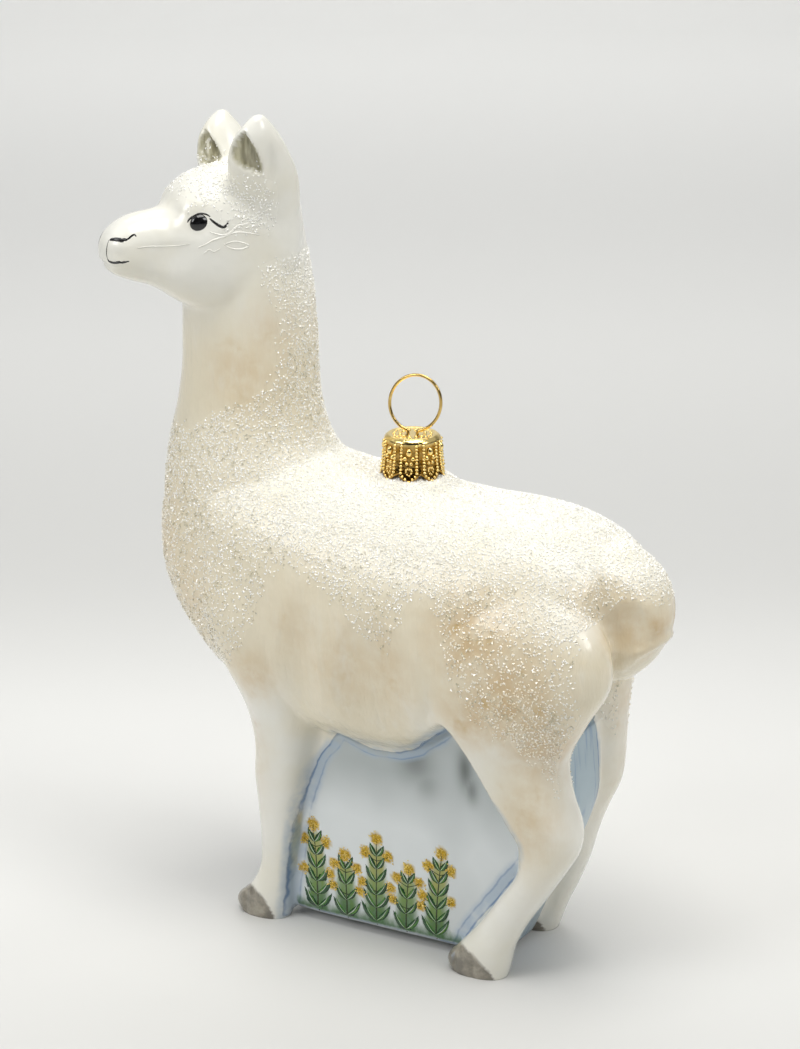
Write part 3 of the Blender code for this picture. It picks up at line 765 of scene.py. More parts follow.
def glitter_cover(points, normals):
    """How thickly the glitter lies at each point, 0 to 1: thick along the back, thin on the haunches."""
    thick = 0.34 + 0.3 * step_up(points[:, 2], 60, 80) + 0.5 * step_up(normals[:, 2], 0.1, 0.75)
    side = folded(points)
    thick = thick - blobs(side, THIN_SPOTS) + blobs(side, THICK_SPOTS)
    return np.clip(thick, 0.06, 1.0) * glitter_edge(points, normals)


def cream_cover(points, normals):
    """How creamy the white is, 0 to 1: most on the flanks, least along the back, on the legs and on the face; faces
    that look up carry less, which is painted light.
    """
    y, z = points[:, 1], points[:, 2]
    belly = step_up(abs(y), 17, 9) * step_up(z, 35, 40)
    body = np.maximum(step_up(z, 40, 55), belly) * step_up(z, 122, 100)
    shank = blobs(folded(points), [((16, 34, 33), (8, 6, 11), 0.8)])
    # Upward faces kept whiter: painted light.
    return np.maximum(body, shank) * (1 - 0.75 * step_up(normals[:, 2], 0.1, 0.8))


def ear_lining(points):
    """The grey inside of the ears, 0 to 1."""
    head = to_head(points)
    cover = np.zeros(len(points))
    for side, drop, opening in OPENINGS:
        inside, _ = ear_opening(head, side, drop, opening)
        cover = np.maximum(cover, step_up(inside, -0.1, 0.35))
    return cover


# Upper edge of the grey toes: (Y, Z). The right hind foot stands further forward than the left.
FRONT_TOE_TOP = [(-30, 5.4), (-24, 5.8), (-21.5, 4.6), (-20.2, 2.0), (-19.6, -1.0)]
HIND_TOE_TOP = [(14, 4.4), (18, 5.4), (21, 5.8), (23.6, 4.8), (26.2, 2.0), (27.2, -1.0)]


def toe_paint(points):
    """The grey toes, 0 to 1: the front of each foot below a slanting line."""
    x, y, z = points.T
    hind_y = np.where(x < 0, y + RIGHT_HIND_STRIDE, y)
    front_y = np.where(x < 0, y - RIGHT_FRONT_STRIDE, y)
    front = step_up(on_line(FRONT_TOE_TOP, front_y) - z, -0.1, 0.5) * (front_y < -15)
    hind = step_up(on_line(HIND_TOE_TOP, hind_y) - z, -0.1, 0.5) * (hind_y > 12)
    return np.maximum(front, hind)


# The painting on each panel is a plain row of leafy sprigs, tall and short by turns, with gold berries.
SPRIG_GAP, SPRIG_FOOT, SPRIG_HALF_WIDTH = 6.1, 2.2, 3.1
SPRIGS = [(SPRIG_GAP * k - 0.1, 15.5 if k % 2 == 0 else 11.0, 0.5 * k) for k in range(-2, 3)]  # Y, height, lean
# Berries of a sprig: (how far up it, how far to the side, how far above that, radius).
BERRIES = [
    (1.0, 0.0, 1.2, 1.2),
    (0.8, -2.3, 1.3, 1.05),
    (0.8, 2.3, 1.3, 1.05),
    (0.42, -2.9, 1.3, 0.95),
    (0.42, 2.9, 1.3, 0.95),
]


def sprig_spot(sprig, share):
    """Y and Z of a place on a sprig's stem; share goes from 0 at its foot to 1 at its tip."""
    at_y, tall, lean = sprig
    return at_y + lean * share * share, SPRIG_FOOT + tall * share


def berry_spots():
    """Every berry, as the place its stalk leaves the stem, its own place, and its radius."""
    spots = []
    for sprig in SPRIGS:
        for share, aside, above, radius in BERRIES:
            stem_y, stem_z = sprig_spot(sprig, share)
            spots.append(((stem_y, stem_z), (stem_y + aside, stem_z + above), radius))
    return spots


def haze_paint(points):
    """The breathed-on green behind the sprigs: how much there is, and how high up each point lies, 0 to 1."""
    y, z = points[:, 1], points[:, 2]
    cover = 0.9 * step_up(z, 6.0, 1.6)
    for at_y, tall, lean in SPRIGS:
        rise = np.clip((z - SPRIG_FOOT) / tall, 0, 1)
        half = SPRIG_HALF_WIDTH * np.sqrt(1 - 0.6 * rise)
        out = abs(y - at_y - lean * rise**2) / half
        top = SPRIG_FOOT + tall
        cover = np.maximum(cover, 0.85 * step_up(out, 1.25, 0.35) * step_up(z, top + 1.2, top - 1.6))
    return cover, np.clip((z - SPRIG_FOOT) / 15, 0, 1)


def rear_web(points, normals):
    """The web between the hind legs, 0 to 1."""
    return step_up(normals[:, 1], 0.3, 0.7) * step_up(points[:, 1], 15, 20)


def berry_cover(points):
    """The gold ground under the berries' glitter, 0 to 1."""
    cover = np.zeros(len(points))
    for _, (at_y, at_z), radius in berry_spots():
        out = np.hypot(points[:, 1] - at_y, points[:, 2] - at_z) / radius
        cover = np.maximum(cover, step_up(out, 1.15, 0.85))
    return cover


# Painted dark reflections near the top of the panel: (centre, radii, strength).
DARK_REFLECTION_SPOTS = [
    ((9, 8.6, 35.6), (9, 3.4, 3.8), 0.62),
    ((9, 10.6, 31.6), (9, 2.4, 2.8), 0.4),
    ((9, 18.4, 36.2), (9, 1.5, 4.0), 0.9),
    ((9, 19.6, 32.4), (9, 1.3, 2.6), 0.7),
    ((9, -13.4, 30.0), (9, 0.9, 6.0), 0.4),
]
# Larger flakes on the haunches and the chest: (centre, radii, strength).
FLAKE_SPOTS = [
    ((20, 26, 62), (12, 13, 12), 1.0),
    ((20, 36, 52), (12, 7, 8), 0.9),
    ((18, -30, 66), (12, 12, 14), 0.6),
    ((9, -40, 74), (10, 8, 16), 0.5),
]
SKIN_MASKS = ["silver", "cream", "honey", "glitter", "flakes", "ear", "toe", "haze", "rise", "berry", "soot", "rear"]


def paint_masks(mesh):
    """Stores on the skin where each paint and the glitter lie, as attributes its material reads."""
    points = mesh_points(mesh)
    normals = np.empty(len(mesh.vertices) * 3, np.float32)
    mesh.vertex_normals.foreach_get("vector", normals)
    normals = normals.reshape(-1, 3)
    between_legs = distances(stack_tree(add_flesh), points) - distances(stack_tree(add_web), points)
    rear = rear_web(points, normals)
    between_legs -= 1.5 * rear * step_up(points[:, 0], 0, -4)
    on_side = step_up(abs(points[:, 0]), 6.9, 7.7) * (1 - rear) * (points[:, 2] < 52)
    # Under the belly the paint stops short, so the wall there stays creamy.
    short = 1.5 * step_up(points[:, 2], 31, 38)
    silver = between_legs * (1 - on_side) + (panel_depth(points) - short) * on_side
    # The front of a hind leg stays creamy where it stands out from the panel.
    proud = abs(points[:, 0]) - on_line(PANEL_FACE, points[:, 2])
    painted_out = np.interp(points[:, 2], [6, 14], [1.5, 5.5]) - proud
    leg_front = step_up(-normals[:, 1], 0.45, 0.7) * (points[:, 1] > 12)
    silver = silver * (1 - leg_front) + np.minimum(silver, painted_out) * leg_front
    on_panel = step_up(silver, -0.2, 0.3)
    off_panel = step_up(silver, 0.3, -0.9)
    haze, rise = haze_paint(points)
    painted = {
        "silver": silver,
        "cream": cream_cover(points, normals),
        "honey": blobs(folded(points), HONEY_SPOTS),
        "glitter": glitter_cover(points, normals) * off_panel,
        "flakes": blobs(folded(points), FLAKE_SPOTS) * glitter_edge(points, normals) * off_panel,
        "ear": ear_lining(points),
        "toe": toe_paint(points) * off_panel,
        "haze": haze * on_panel * step_up(abs(normals[:, 0]), 0.75, 0.92),
        "rise": rise,
        "berry": berry_cover(points) * on_panel * step_up(abs(normals[:, 0]), 0.6, 0.8),
        # Painted dark reflections near the top of the panel.
        "soot": blobs(folded(points), DARK_REFLECTION_SPOTS) * step_up(silver, 0.8, 2.4),
        "rear": rear * on_panel,
    }
    for name in SKIN_MASKS:
        layer = mesh.attributes.new(name, "FLOAT", "POINT")
        layer.data.foreach_set("value", painted[name].astype(np.float32))


# ---- Materials ----


def add_node(tree, kind, inputs=None, output=0, **settings):
    """Adds one node and returns one of its outputs; inputs holds a value, a hex colour or a socket to link from."""
    node = tree.nodes.new(kind)
    for key, value in settings.items():
        setattr(node, key, value)
    for key, value in (inputs or {}).items():
        socket = node.inputs[key]
        if isinstance(value, bpy.types.NodeSocket):
            tree.links.new(value, socket)
        else:
            socket.default_value = linear(value) if isinstance(value, str) and value[:1] == "#" else value
    return node.outputs[output] if len(node.outputs) else None


MIX, MATH, RANGE, NOISE = "ShaderNodeMix", "ShaderNodeMath", "ShaderNodeMapRange", "ShaderNodeTexNoise"
OBJECT = {"kind": "ShaderNodeTexCoord", "output": "Object"}
PAINT = {"data_type": "RGBA"}  # a Mix of colours: input 0 is the share, 6 and 7 are the colours, output 2 is the mix
EASED = {"interpolation_type": "SMOOTHSTEP"}


def new_material(name):
    """An empty material and its tree."""
    material = bpy.data.materials.new(name)
    material.use_nodes = True
    material.node_tree.nodes.clear()
    return material, material.node_tree


def surface_of(material, tree, inputs):
    """Ends a tree in the shader with these inputs and returns the material."""
    shader = add_node(tree, "ShaderNodeBsdfPrincipled", inputs)
    add_node(tree, "ShaderNodeOutputMaterial", {"Surface": shader})
    return material


# Unevenness that the brush and the airbrush leave: size in mm, detail, roughness, how far it is drawn out
# upright, and the noise values that become 0 and 1.
BRUSH_MARKS = {
    "pearl": (12.0, 3.0, 0.5, 1.0, 0.35, 0.7),
    "streaks": (3.4, 3.0, 0.6, 0.35, 0.48, 0.85),
    "mottle": (3.4, 4.0, 0.6, 1.0, 0.25, 0.65),
    "flecks": (4.0, 2.0, 0.5, 1.0, 0.6, 0.76),
    "hairs": (1.0, 2.0, 0.6, 0.25, 0.3, 0.7),
    "threads": (1.7, 2.0, 0.5, 0.12, 0.5, 0.72),
    "clouds": (11.0, 1.0, 0.4, 0.8, 0.3, 0.8),
    "dry": (5.0, 3.0, 0.6, 1.0, 0.25, 0.6),
    "leaves": (1.5, 3.0, 0.7, 0.6, 0.0, 1.0),
    "ragged": (3.0, 2.0, 0.5, 1.0, 0.0, 1.0),
    "waves": (5.0, 2.0, 0.5, 1.0, 0.0, 1.0),
    "wool": (2.2, 3.0, 0.6, 0.25, 0.0, 1.0),
    "satin": (5.0, 3.0, 0.5, 1.0, 0.2, 0.8),
}
# Brushed lines round the panel: how far inside its edge in mm, half width in mm, strength.
OUTLINE_STROKES = ((0.1, 0.32, 0.8), (1.7, 0.3, 0.45))


def lacquered_glass():
    """Pearl lacquer over blown glass, airbrushed and silvered: wet-looking, a little uneven from the brush."""
    material, tree = new_material("pearl_lacquer_on_blown_glass")
    where = add_node(tree, **OBJECT)
    height = add_node(tree, "ShaderNodeSeparateXYZ", {0: where}, "Z")
    paint = {n: add_node(tree, "ShaderNodeAttribute", output="Fac", attribute_name=n) for n in SKIN_MASKS}
    mark = {}
    for name, (size, detail, rough, squeeze, low, high) in BRUSH_MARKS.items():
        drawn = add_node(tree, "ShaderNodeMapping", {"Vector": where, "Scale": (1.0, 1.0, squeeze)})
        made = add_node(tree, NOISE, {"Vector": drawn, "Scale": 1000 / size, "Detail": detail, "Roughness": rough})
        mark[name] = add_node(tree, RANGE, {"Value": made, "From Min": low, "From Max": high}, **EASED)
    glitter = paint["glitter"]
    # White streaks run down through the cream where no glitter lies.
    bare = add_node(tree, RANGE, {"Value": glitter, "To Min": 0.42, "To Max": 0.0})
    streaks = add_node(tree, MATH, {0: mark["streaks"], 1: bare}, operation="MULTIPLY")
    between = add_node(tree, RANGE, {"Value": streaks, "To Min": 1.0, "To Max": 0.0})
    cream = add_node(tree, MATH, {0: paint["cream"], 1: between}, operation="MULTIPLY")
    # Honey patches, mottled as an airbrush leaves them, with a few ochre flecks.
    mottle = add_node(tree, RANGE, {"Value": mark["mottle"], "To Min": 0.35, "To Max": 1.0})
    honey = add_node(tree, MATH, {0: paint["honey"], 1: mottle}, operation="MULTIPLY")
    honey = add_node(tree, MATH, {0: honey, 1: between}, operation="MULTIPLY")
    fleck = add_node(tree, MATH, {0: honey, 1: mark["flecks"]}, operation="MULTIPLY")
    fleck = add_node(tree, MATH, {0: fleck, 1: 0.7}, operation="MULTIPLY")
    # The edge of the panel wanders a little, as the brush did; silver is the depth inside it in mm.
    wander = add_node(tree, RANGE, {"Value": mark["ragged"], "To Min": -0.3, "To Max": 0.3})
    depth = add_node(tree, MATH, {0: paint["silver"], 1: wander}, operation="ADD")
    panel = add_node(tree, RANGE, {"Value": depth, "From Min": -0.1, "From Max": 0.2}, **EASED)
    # A broad pale wash on either side of the edge, and two thin darker lines.
    wash = add_node(tree, RANGE, {"Value": depth, "From Min": 3.0, "From Max": 1.4}, **EASED)
    wash_out = add_node(tree, RANGE, {"Value": depth, "From Min": -1.6, "From Max": -0.2}, **EASED)
    wash = add_node(tree, MATH, {0: wash, 1: wash_out}, operation="MULTIPLY")
    wash = add_node(tree, MATH, {0: wash, 1: mark["dry"]}, operation="MULTIPLY")
    wash = add_node(tree, MATH, {0: wash, 1: 0.6}, operation="MULTIPLY")
    lines = None
    for inside, half_width, strength in OUTLINE_STROKES:
        off = add_node(tree, MATH, {0: depth, 1: inside}, operation="SUBTRACT")
        off = add_node(tree, MATH, {0: off}, operation="ABSOLUTE")
        line = add_node(
            tree, RANGE, {"Value": off, "From Min": half_width, "From Max": 0.0, "To Max": strength}, **EASED
        )
        lines = line if lines is None else add_node(tree, MATH, {0: lines, 1: line}, operation="MAXIMUM")
    lines = add_node(tree, MATH, {0: lines, 1: mark["dry"]}, operation="MULTIPLY")
    # On the web behind, the lines run down it like hanging threads.
    threads = add_node(tree, MATH, {0: paint["rear"], 1: mark["threads"]}, operation="MULTIPLY")
    threads = add_node(tree, MATH, {0: threads, 1: 0.55}, operation="MULTIPLY")
    # Airbrushed green behind the sprigs: olive at the top, greener and darker towards the foot.
    feather = add_node(tree, RANGE, {"Value": mark["leaves"], "To Min": -0.22, "To Max": 0.22})
    haze = add_node(tree, MATH, {0: paint["haze"], 1: feather}, operation="ADD")
    haze = add_node(tree, RANGE, {"Value": haze, "From Min": 0.1, "From Max": 0.95}, **EASED)
    haze = add_node(tree, MATH, {0: haze, 1: panel}, operation="MULTIPLY")
    rise = add_node(tree, MATH, {0: paint["rise"], 1: feather}, operation="ADD")
    mid = add_node(tree, RANGE, {"Value": rise, "From Min": 0.1, "From Max": 0.45}, **EASED)
    rim = add_node(tree, RANGE, {"Value": rise, "From Min": 0.4, "From Max": 0.85}, **EASED)
    green = add_node(tree, MIX, {0: mid, 6: HAZE_FOOT, 7: HAZE_TOP}, 2, **PAINT)
    green = add_node(tree, MIX, {0: rim, 6: green, 7: HAZE_RIM}, 2, **PAINT)
    # Silver seen through a satin blue-grey lacquer: painted shade makes it darker towards the belly, and painted dark
    # reflections lie near its top.
    dim = add_node(tree, RANGE, {"Value": height, "From Min": 0.018, "From Max": 0.037}, **EASED)
    cloudy = add_node(tree, RANGE, {"Value": mark["clouds"], "To Min": -0.18, "To Max": 0.18})
    dim = add_node(tree, MATH, {0: dim, 1: cloudy}, operation="ADD", use_clamp=True)
    silver = add_node(tree, MIX, {0: dim, 6: SILVER_PALE, 7: SILVER_SHADE}, 2, **PAINT)
    lining = add_node(tree, MIX, {0: mark["hairs"], 6: EAR_GREY, 7: EAR_PALE}, 2, **PAINT)
    nails = add_node(tree, MIX, {0: mark["mottle"], 6: TOE_PALE, 7: TOE_GREY}, 2, **PAINT)
    colour = add_node(tree, MIX, {0: mark["pearl"], 6: PEARL_WHITE, 7: WARM_WHITE}, 2, **PAINT)
    for share, coat in (
        (cream, CREAM),
        (honey, HONEY),
        (fleck, OCHRE),
        (paint["ear"], lining),
        (paint["toe"], nails),
        (panel, silver),
        # painted dark reflection
        (paint["soot"], DARK_REFLECTION_GREY),
        (wash, WASH_BLUE),
        (paint["rear"], REAR_BLUE),
        (threads, OUTLINE_BLUE),
        (lines, OUTLINE_BLUE),
        (haze, green),
        (paint["berry"], BERRY_GROUND),
    ):
        colour = add_node(tree, MIX, {0: share, 6: colour, 7: coat}, 2, **PAINT)
    covered = add_node(tree, MATH, {0: haze, 1: lines}, operation="MAXIMUM")
    covered = add_node(tree, MATH, {0: covered, 1: wash}, operation="MAXIMUM")
    shown = add_node(tree, RANGE, {"Value": covered, "To Min": 0.7, "To Max": 0.0})
    metal = add_node(tree, MATH, {0: panel, 1: shown}, operation="MULTIPLY")
    gloss = add_node(tree, RANGE, {"Value": mark["satin"], "To Min": 0.16, "To Max": 0.26})
    matt = add_node(tree, MATH, {0: glitter, 1: 0.34}, operation="MULTIPLY")
    satin = add_node(tree, MATH, {0: panel, 1: 0.16}, operation="MULTIPLY")
    rough = add_node(tree, MATH, {0: gloss, 1: matt}, operation="ADD")
    rough = add_node(tree, MATH, {0: rough, 1: satin}, operation="ADD")
    # Blown glass keeps the mould's slow waves, about 5 mm, and the modelled wool runs down it in 2 mm locks.
    locks = add_node(tree, MATH, {0: mark["wool"], 1: paint["cream"]}, operation="MULTIPLY")
    relief = add_node(tree, MATH, {0: mark["waves"], 1: locks}, operation="ADD")
    flat = add_node(tree, RANGE, {"Value": panel, "To Min": 1.0, "To Max": 0.25})
    relief = add_node(tree, MATH, {0: relief, 1: flat}, operation="MULTIPLY")
    normal = add_node(tree, "ShaderNodeBump", {"Height": relief, "Strength": 0.6, "Distance": 0.35 * MM})
    return surface_of(
        material,
        tree,
        {
            "Base Color": colour,
            "Metallic": metal,
            "Roughness": rough,
            "Normal": normal,
            "IOR": 1.5,
            "Coat Weight": 0.45,
            "Coat Roughness": 0.08,
        },
    )


def grain_glass():
    """Crushed clear glass, a little warm where honey paint shows through, with painted glints whitening some of it."""
    material, tree = new_material("crushed_glass_glitter")
    where = add_node(tree, **OBJECT)
    honey = add_node(tree, "ShaderNodeAttribute", output="Fac", attribute_name="honey")
    # Painted glints: some grains whitened by noise.
    painted_glint = add_node(tree, NOISE, {"Vector": where, "Scale": 1000 / 0.6, "Detail": 1.0})
    painted_glint = add_node(tree, RANGE, {"Value": painted_glint, "From Min": 0.35, "From Max": 0.65, "To Max": 0.5}, **EASED)
    colour = add_node(tree, MIX, {0: honey, 6: CLEAR_GRAIN, 7: HONEY_GRAIN}, 2, **PAINT)
    colour = add_node(tree, MIX, {0: painted_glint, 6: colour, 7: "#FFFFFF"}, 2, **PAINT)
    # Painted shade: where the cream paint lies, some shards are coloured darker, as if they lay so that they pass no
    # light back.
    shaded_shards = add_node(tree, NOISE, {"Vector": where, "Scale": 1000 / 1.0, "Detail": 1.0})
    shaded_shards = add_node(tree, RANGE, {"Value": shaded_shards, "From Min": 0.56, "From Max": 0.64, "To Max": 0.9}, **EASED)
    creamy = add_node(tree, "ShaderNodeAttribute", output="Fac", attribute_name="cream")
    shaded_shards = add_node(tree, MATH, {0: shaded_shards, 1: creamy}, operation="MULTIPLY")
    colour = add_node(tree, MIX, {0: shaded_shards, 6: colour, 7: SHADED_GRAIN}, 2, **PAINT)
    return surface_of(
        material, tree, {"Base Color": colour, "Roughness": 0.12, "IOR": 1.6, "Specular IOR Level": 0.8}
    )


def gold_grain():
    """Gold-lacquered glass glitter: yellow facets, with painted glints that make some paler and some deeper."""
    material, tree = new_material("gold_glass_glitter")
    where = add_node(tree, **OBJECT)
    # Painted glints: paler and deeper yellow by noise.
    painted_glint = add_node(tree, NOISE, {"Vector": where, "Scale": 1000 / 0.5, "Detail": 1.0})
    painted_glint = add_node(tree, RANGE, {"Value": painted_glint, "From Min": 0.35, "From Max": 0.65}, **EASED)
    colour = add_node(tree, MIX, {0: painted_glint, 6: "#FFE680", 7: "#DDB42C"}, 2, **PAINT)
    return surface_of(material, tree, {"Base Color": colour, "Roughness": 0.22})


def lacquer_drip():
    """Clear lacquer that ran out from under the glitter and set in thin glossy beads."""
    material, tree = new_material("set_clear_lacquer")
    where = add_node(tree, **OBJECT)
    uneven = add_node(tree, NOISE, {"Vector": where, "Scale": 1000 / 2.0})
    colour = add_node(tree, MIX, {0: uneven, 6: "#FBFAF4", 7: "#F4F2E8"}, 2, **PAINT)
    return surface_of(
        material, tree, {"Base Color": colour, "Roughness": 0.05, "Coat Weight": 1.0, "Coat Roughness": 0.02}
    )


def enamel(name, code, second, roughness=0.2):
    """Enamel put on with a fine brush: nearly one colour, thinner where the brush ran dry."""
    material, tree = new_material(name)
    where = add_node(tree, **OBJECT)
    dry = add_node(tree, NOISE, {"Vector": where, "Scale": 1000 / 0.7})
    dry = add_node(tree, RANGE, {"Value": dry, "From Min": 0.4, "From Max": 0.8}, **EASED)
    colour = add_node(tree, MIX, {0: dry, 6: code, 7: second}, 2, **PAINT)
    return surface_of(material, tree, {"Base Color": colour, "Roughness": roughness, "Coat Weight": 0.5})


def stamped_brass():
    """Thin brass sheet, stamped and lacquered gold: mirror-bright ridges, with painted shade and dark reflection in
    brown where the sheet lies low and on the wire.
    """
    material, tree = new_material("lacquered_stamped_brass")
    where = add_node(tree, **OBJECT)
    raised = add_node(tree, "ShaderNodeAttribute", output="Fac", attribute_name="raised")
    # The painted shade, broken up a little by noise.
    patchy_shade = add_node(tree, NOISE, {"Vector": where, "Scale": 1000 / 1.2, "Detail": 3.0})
    patchy_shade = add_node(tree, RANGE, {"Value": patchy_shade, "From Min": 0.35, "From Max": 0.8, "To Max": 0.35}, **EASED)
    hollow = add_node(tree, MIX, {0: patchy_shade, 6: BRASS_SHADE, 7: GOLD}, 2, **PAINT)
    colour = add_node(tree, MIX, {0: raised, 6: hollow, 7: GOLD}, 2, **PAINT)
    scuffs = add_node(tree, NOISE, {"Vector": where, "Scale": 1000 / 0.8, "Detail": 3.0})
    rough = add_node(tree, RANGE, {"Value": scuffs, "To Min": 0.08, "To Max": 0.2})
    dimples = add_node(tree, NOISE, {"Vector": where, "Scale": 1000 / 0.5})
    normal = add_node(tree, "ShaderNodeBump", {"Height": dimples, "Strength": 0.8, "Distance": 0.06 * MM})
    return surface_of(material, tree, {"Base Color": colour, "Metallic": 1.0, "Roughness": rough, "Normal": normal})


def silvered_glass():
    """The glass neck under the cap, silvered on the inside."""
    material, tree = new_material("silvered_glass")
    where = add_node(tree, **OBJECT)
    thin = add_node(tree, NOISE, {"Vector": where, "Scale": 1000 / 2.0})
    colour = add_node(tree, MIX, {0: thin, 6: SILVER_PALE, 7: "#D6DEE8"}, 2, **PAINT)
    return surface_of(material, tree, {"Base Color": colour, "Metallic": 0.8, "Roughness": 0.2})


def paper_sheet():
    """Matt white paper of the studio floor, with painted light and shade toned by how far behind the ornament it lies.
    """
    material, tree = new_material("matt_white_paper")
    where = add_node(tree, **OBJECT)
    turn = math.radians(CAMERA_AZIMUTH)
    away = (-math.sin(turn), math.cos(turn), 0.0)
    behind = add_node(tree, "ShaderNodeVectorMath", {0: where, 1: away}, "Value", operation="DOT_PRODUCT")
    tooth = add_node(tree, NOISE, {"Vector": where, "Scale": 1000 / 30})
    colour = add_node(tree, MIX, {0: tooth, 6: FLOOR_PAPER[0], 7: FLOOR_PAPER[1]}, 2, **PAINT)
    # Painted light and shade on the paper.
    for start, end, tone in PAINTED_PAPER_LIGHT:
        share = add_node(tree, RANGE, {"Value": behind, "From Min": start * MM, "From Max": end * MM}, **EASED)
        colour = add_node(tree, MIX, {0: share, 6: colour, 7: tone}, 2, **PAINT)
    return surface_of(material, tree, {"Base Color": colour, "Roughness": 0.6})


# ---- Scattered grains ----

# Coats of grains: (least spacing in mm, grains per square mm, grain length in mm, seed). The glitter is shaken on
# three times, finer each time. Coarse glass glitter is 0.3 to 0.5 mm: the grains are drawn longer so that they show.
GLITTER_COATS = ((0.5, 3.2, 0.66, 3), (0.42, 4.0, 0.56, 4), (0.36, 4.6, 0.48, 5))
FLAKE_COAT = (0.8, 1.0, 0.78, 9)
BERRY_COAT = (0.22, 14.0, 0.5, 21)


def grain_tree(name, material):
    """Geometry Nodes that strew a surface with little shards of glass, by the mask named in Cover."""
    tree = bpy.data.node_groups.new(name, "GeometryNodeTree")
    face = tree.interface
    face.new_socket("Geometry", in_out="INPUT", socket_type="NodeSocketGeometry")
    for label, kind in (
        ("Cover", "NodeSocketFloat"),
        ("Spacing", "NodeSocketFloat"),
        ("Grains per square metre", "NodeSocketFloat"),
        ("Grain length", "NodeSocketFloat"),
        ("Seed", "NodeSocketInt"),
    ):
        face.new_socket(label, in_out="INPUT", socket_type=kind)
    face.new_socket("Geometry", in_out="OUTPUT", socket_type="NodeSocketGeometry")
    given = add_node(tree, "NodeGroupInput").node.outputs
    spread = add_node(
        tree,
        "GeometryNodeDistributePointsOnFaces",
        {
            "Mesh": given["Geometry"],
            "Distance Min": given["Spacing"],
            "Density Max": given["Grains per square metre"],
            "Density Factor": given["Cover"],
            "Seed": given["Seed"],
        },
        distribute_method="POISSON",
    )
    rooted = spread
    for label, value in (
        ("root", add_node(tree, "GeometryNodeInputPosition")),
        ("way_out", spread.node.outputs["Normal"]),
    ):
        rooted = add_node(
            tree,
            "GeometryNodeStoreNamedAttribute",
            {"Geometry": rooted, "Name": label, "Value": value},
            data_type="FLOAT_VECTOR",
        )
    # A shard is a low splinter with three facets, a little longer than wide.
    shard = add_node(
        tree,
        "GeometryNodeMeshCone",
        {"Vertices": 3, "Radius Top": 0.0, "Radius Bottom": 0.5, "Depth": 0.42},
        fill_type="NGON",
    )
    tip = add_node(
        tree,
        "FunctionNodeRandomValue",
        {"Min": (-0.7, -0.7, -3.14), "Max": (0.7, 0.7, 3.14), "Seed": given["Seed"]},
        data_type="FLOAT_VECTOR",
    )
    tipped = add_node(tree, "FunctionNodeEulerToRotation", {"Euler": tip})
    turn = add_node(
        tree,
        "FunctionNodeRotateRotation",
        {"Rotation": spread.node.outputs["Rotation"], "Rotate By": tipped},
        rotation_space="LOCAL",
    )
    stretch = add_node(
        tree,
        "FunctionNodeRandomValue",
        {"Min": (0.8, 0.55, 0.6), "Max": (1.5, 1.0, 1.1), "Seed": given["Seed"]},
        data_type="FLOAT_VECTOR",
    )
    size = add_node(tree, "ShaderNodeVectorMath", {0: stretch, "Scale": given["Grain length"]}, operation="SCALE")
    strewn = add_node(
        tree,
        "GeometryNodeInstanceOnPoints",
        {"Points": rooted, "Instance": shard, "Rotation": turn, "Scale": size},
    )
    real = add_node(tree, "GeometryNodeRealizeInstances", {"Geometry": strewn})
    done = add_node(tree, "GeometryNodeSetMaterial", {"Geometry": real, "Material": material})
    add_node(tree, "NodeGroupOutput", {"Geometry": done})
    return tree


def strew(name, skin, tree, cover, coat):
    """The grains that one tree strews on the skin, as a plain mesh. Sizes are in millimetres, as the skin is."""
    spacing, per_square_mm, length, seed = coat
    obj = bare_object(name, skin.copy())
    modifier = obj.modifiers.new("strew", "NODES")
    modifier.node_group = tree
    values = {
        "Spacing": spacing,
        "Grains per square metre": per_square_mm,
        "Grain length": length,
        "Seed": seed,
    }
    for item in tree.interface.items_tree:
        if item.item_type == "SOCKET" and item.in_out == "INPUT" and item.name != "Geometry":
            if item.name == "Cover":
                modifier[item.identifier + "_use_attribute"] = True
                modifier[item.identifier + "_attribute_name"] = cover
            else:
                modifier[item.identifier] = values[item.name]
    mesh = evaluated_mesh(obj)
    lay_out_grains(mesh)
    return mesh


# The skin unwrapped by the six ways its faces look: (axis, positive way): where that part of the map starts, and
# the axes that run along it and up it.
UNWRAP = {
    (0, True): (0.01, 0.01, 1, 2),
    (0, False): (0.41, 0.01, 1, 2),
    (2, True): (0.81, 0.01, 0, 1),
    (1, True): (0.81, 0.42, 0, 2),
    (1, False): (0.01, 0.60, 2, 0),
    (2, False): (0.01, 0.80, 1, 0),
}
UNWRAP_SCALE = 0.0037  # of the map for each millimetre of skin
LOWEST_CORNER = np.array([-23.0, -52.0, 0.0])


def lay_out_grains(mesh):
    """Maps every grain to a small patch at its root's place on the unwrapped skin."""
    count = len(mesh.vertices)
    points = mesh_points(mesh)
    held = {}
    for label in ("root", "way_out"):
        values = np.empty(count * 3)
        mesh.attributes[label].data.foreach_get("vector", values)
        held[label] = values.reshape(-1, 3)
    roots, ways = held["root"], held["way_out"]
    facing = abs(ways).argmax(axis=1)
    outwards = ways[np.arange(count), facing] > 0
    uv = np.zeros((count, 2))
    for (axis, positive), (u, v, along, up) in UNWRAP.items():
        here = (facing == axis) & (outwards == positive)
        for column, (start, way) in enumerate(((u, along), (v, up))):
            spot = (roots[here, way] - LOWEST_CORNER[way]) * UNWRAP_SCALE
            uv[here, column] = start + spot + (points[here, way] - roots[here, way]) * UNWRAP_SCALE
    corners = np.empty(len(mesh.loops), np.int32)
    mesh.loops.foreach_get("vertex_index", corners)
    layer = mesh.uv_layers.new(name="OFBake")
    layer.data.foreach_set("uv", uv[corners].astype(np.float32).ravel())
    for label in held:
        mesh.attributes.remove(mesh.attributes[label])


# ---- Painted strokes ----


THROW = 40  # how far off a stroke starts before it is laid on the skin
PANEL_OUTERMOST = 9.7  # a stroke on the panel keeps to what lies nearer the middle than this
PANEL_FACING = 0.75  # and faces the side at least this squarely


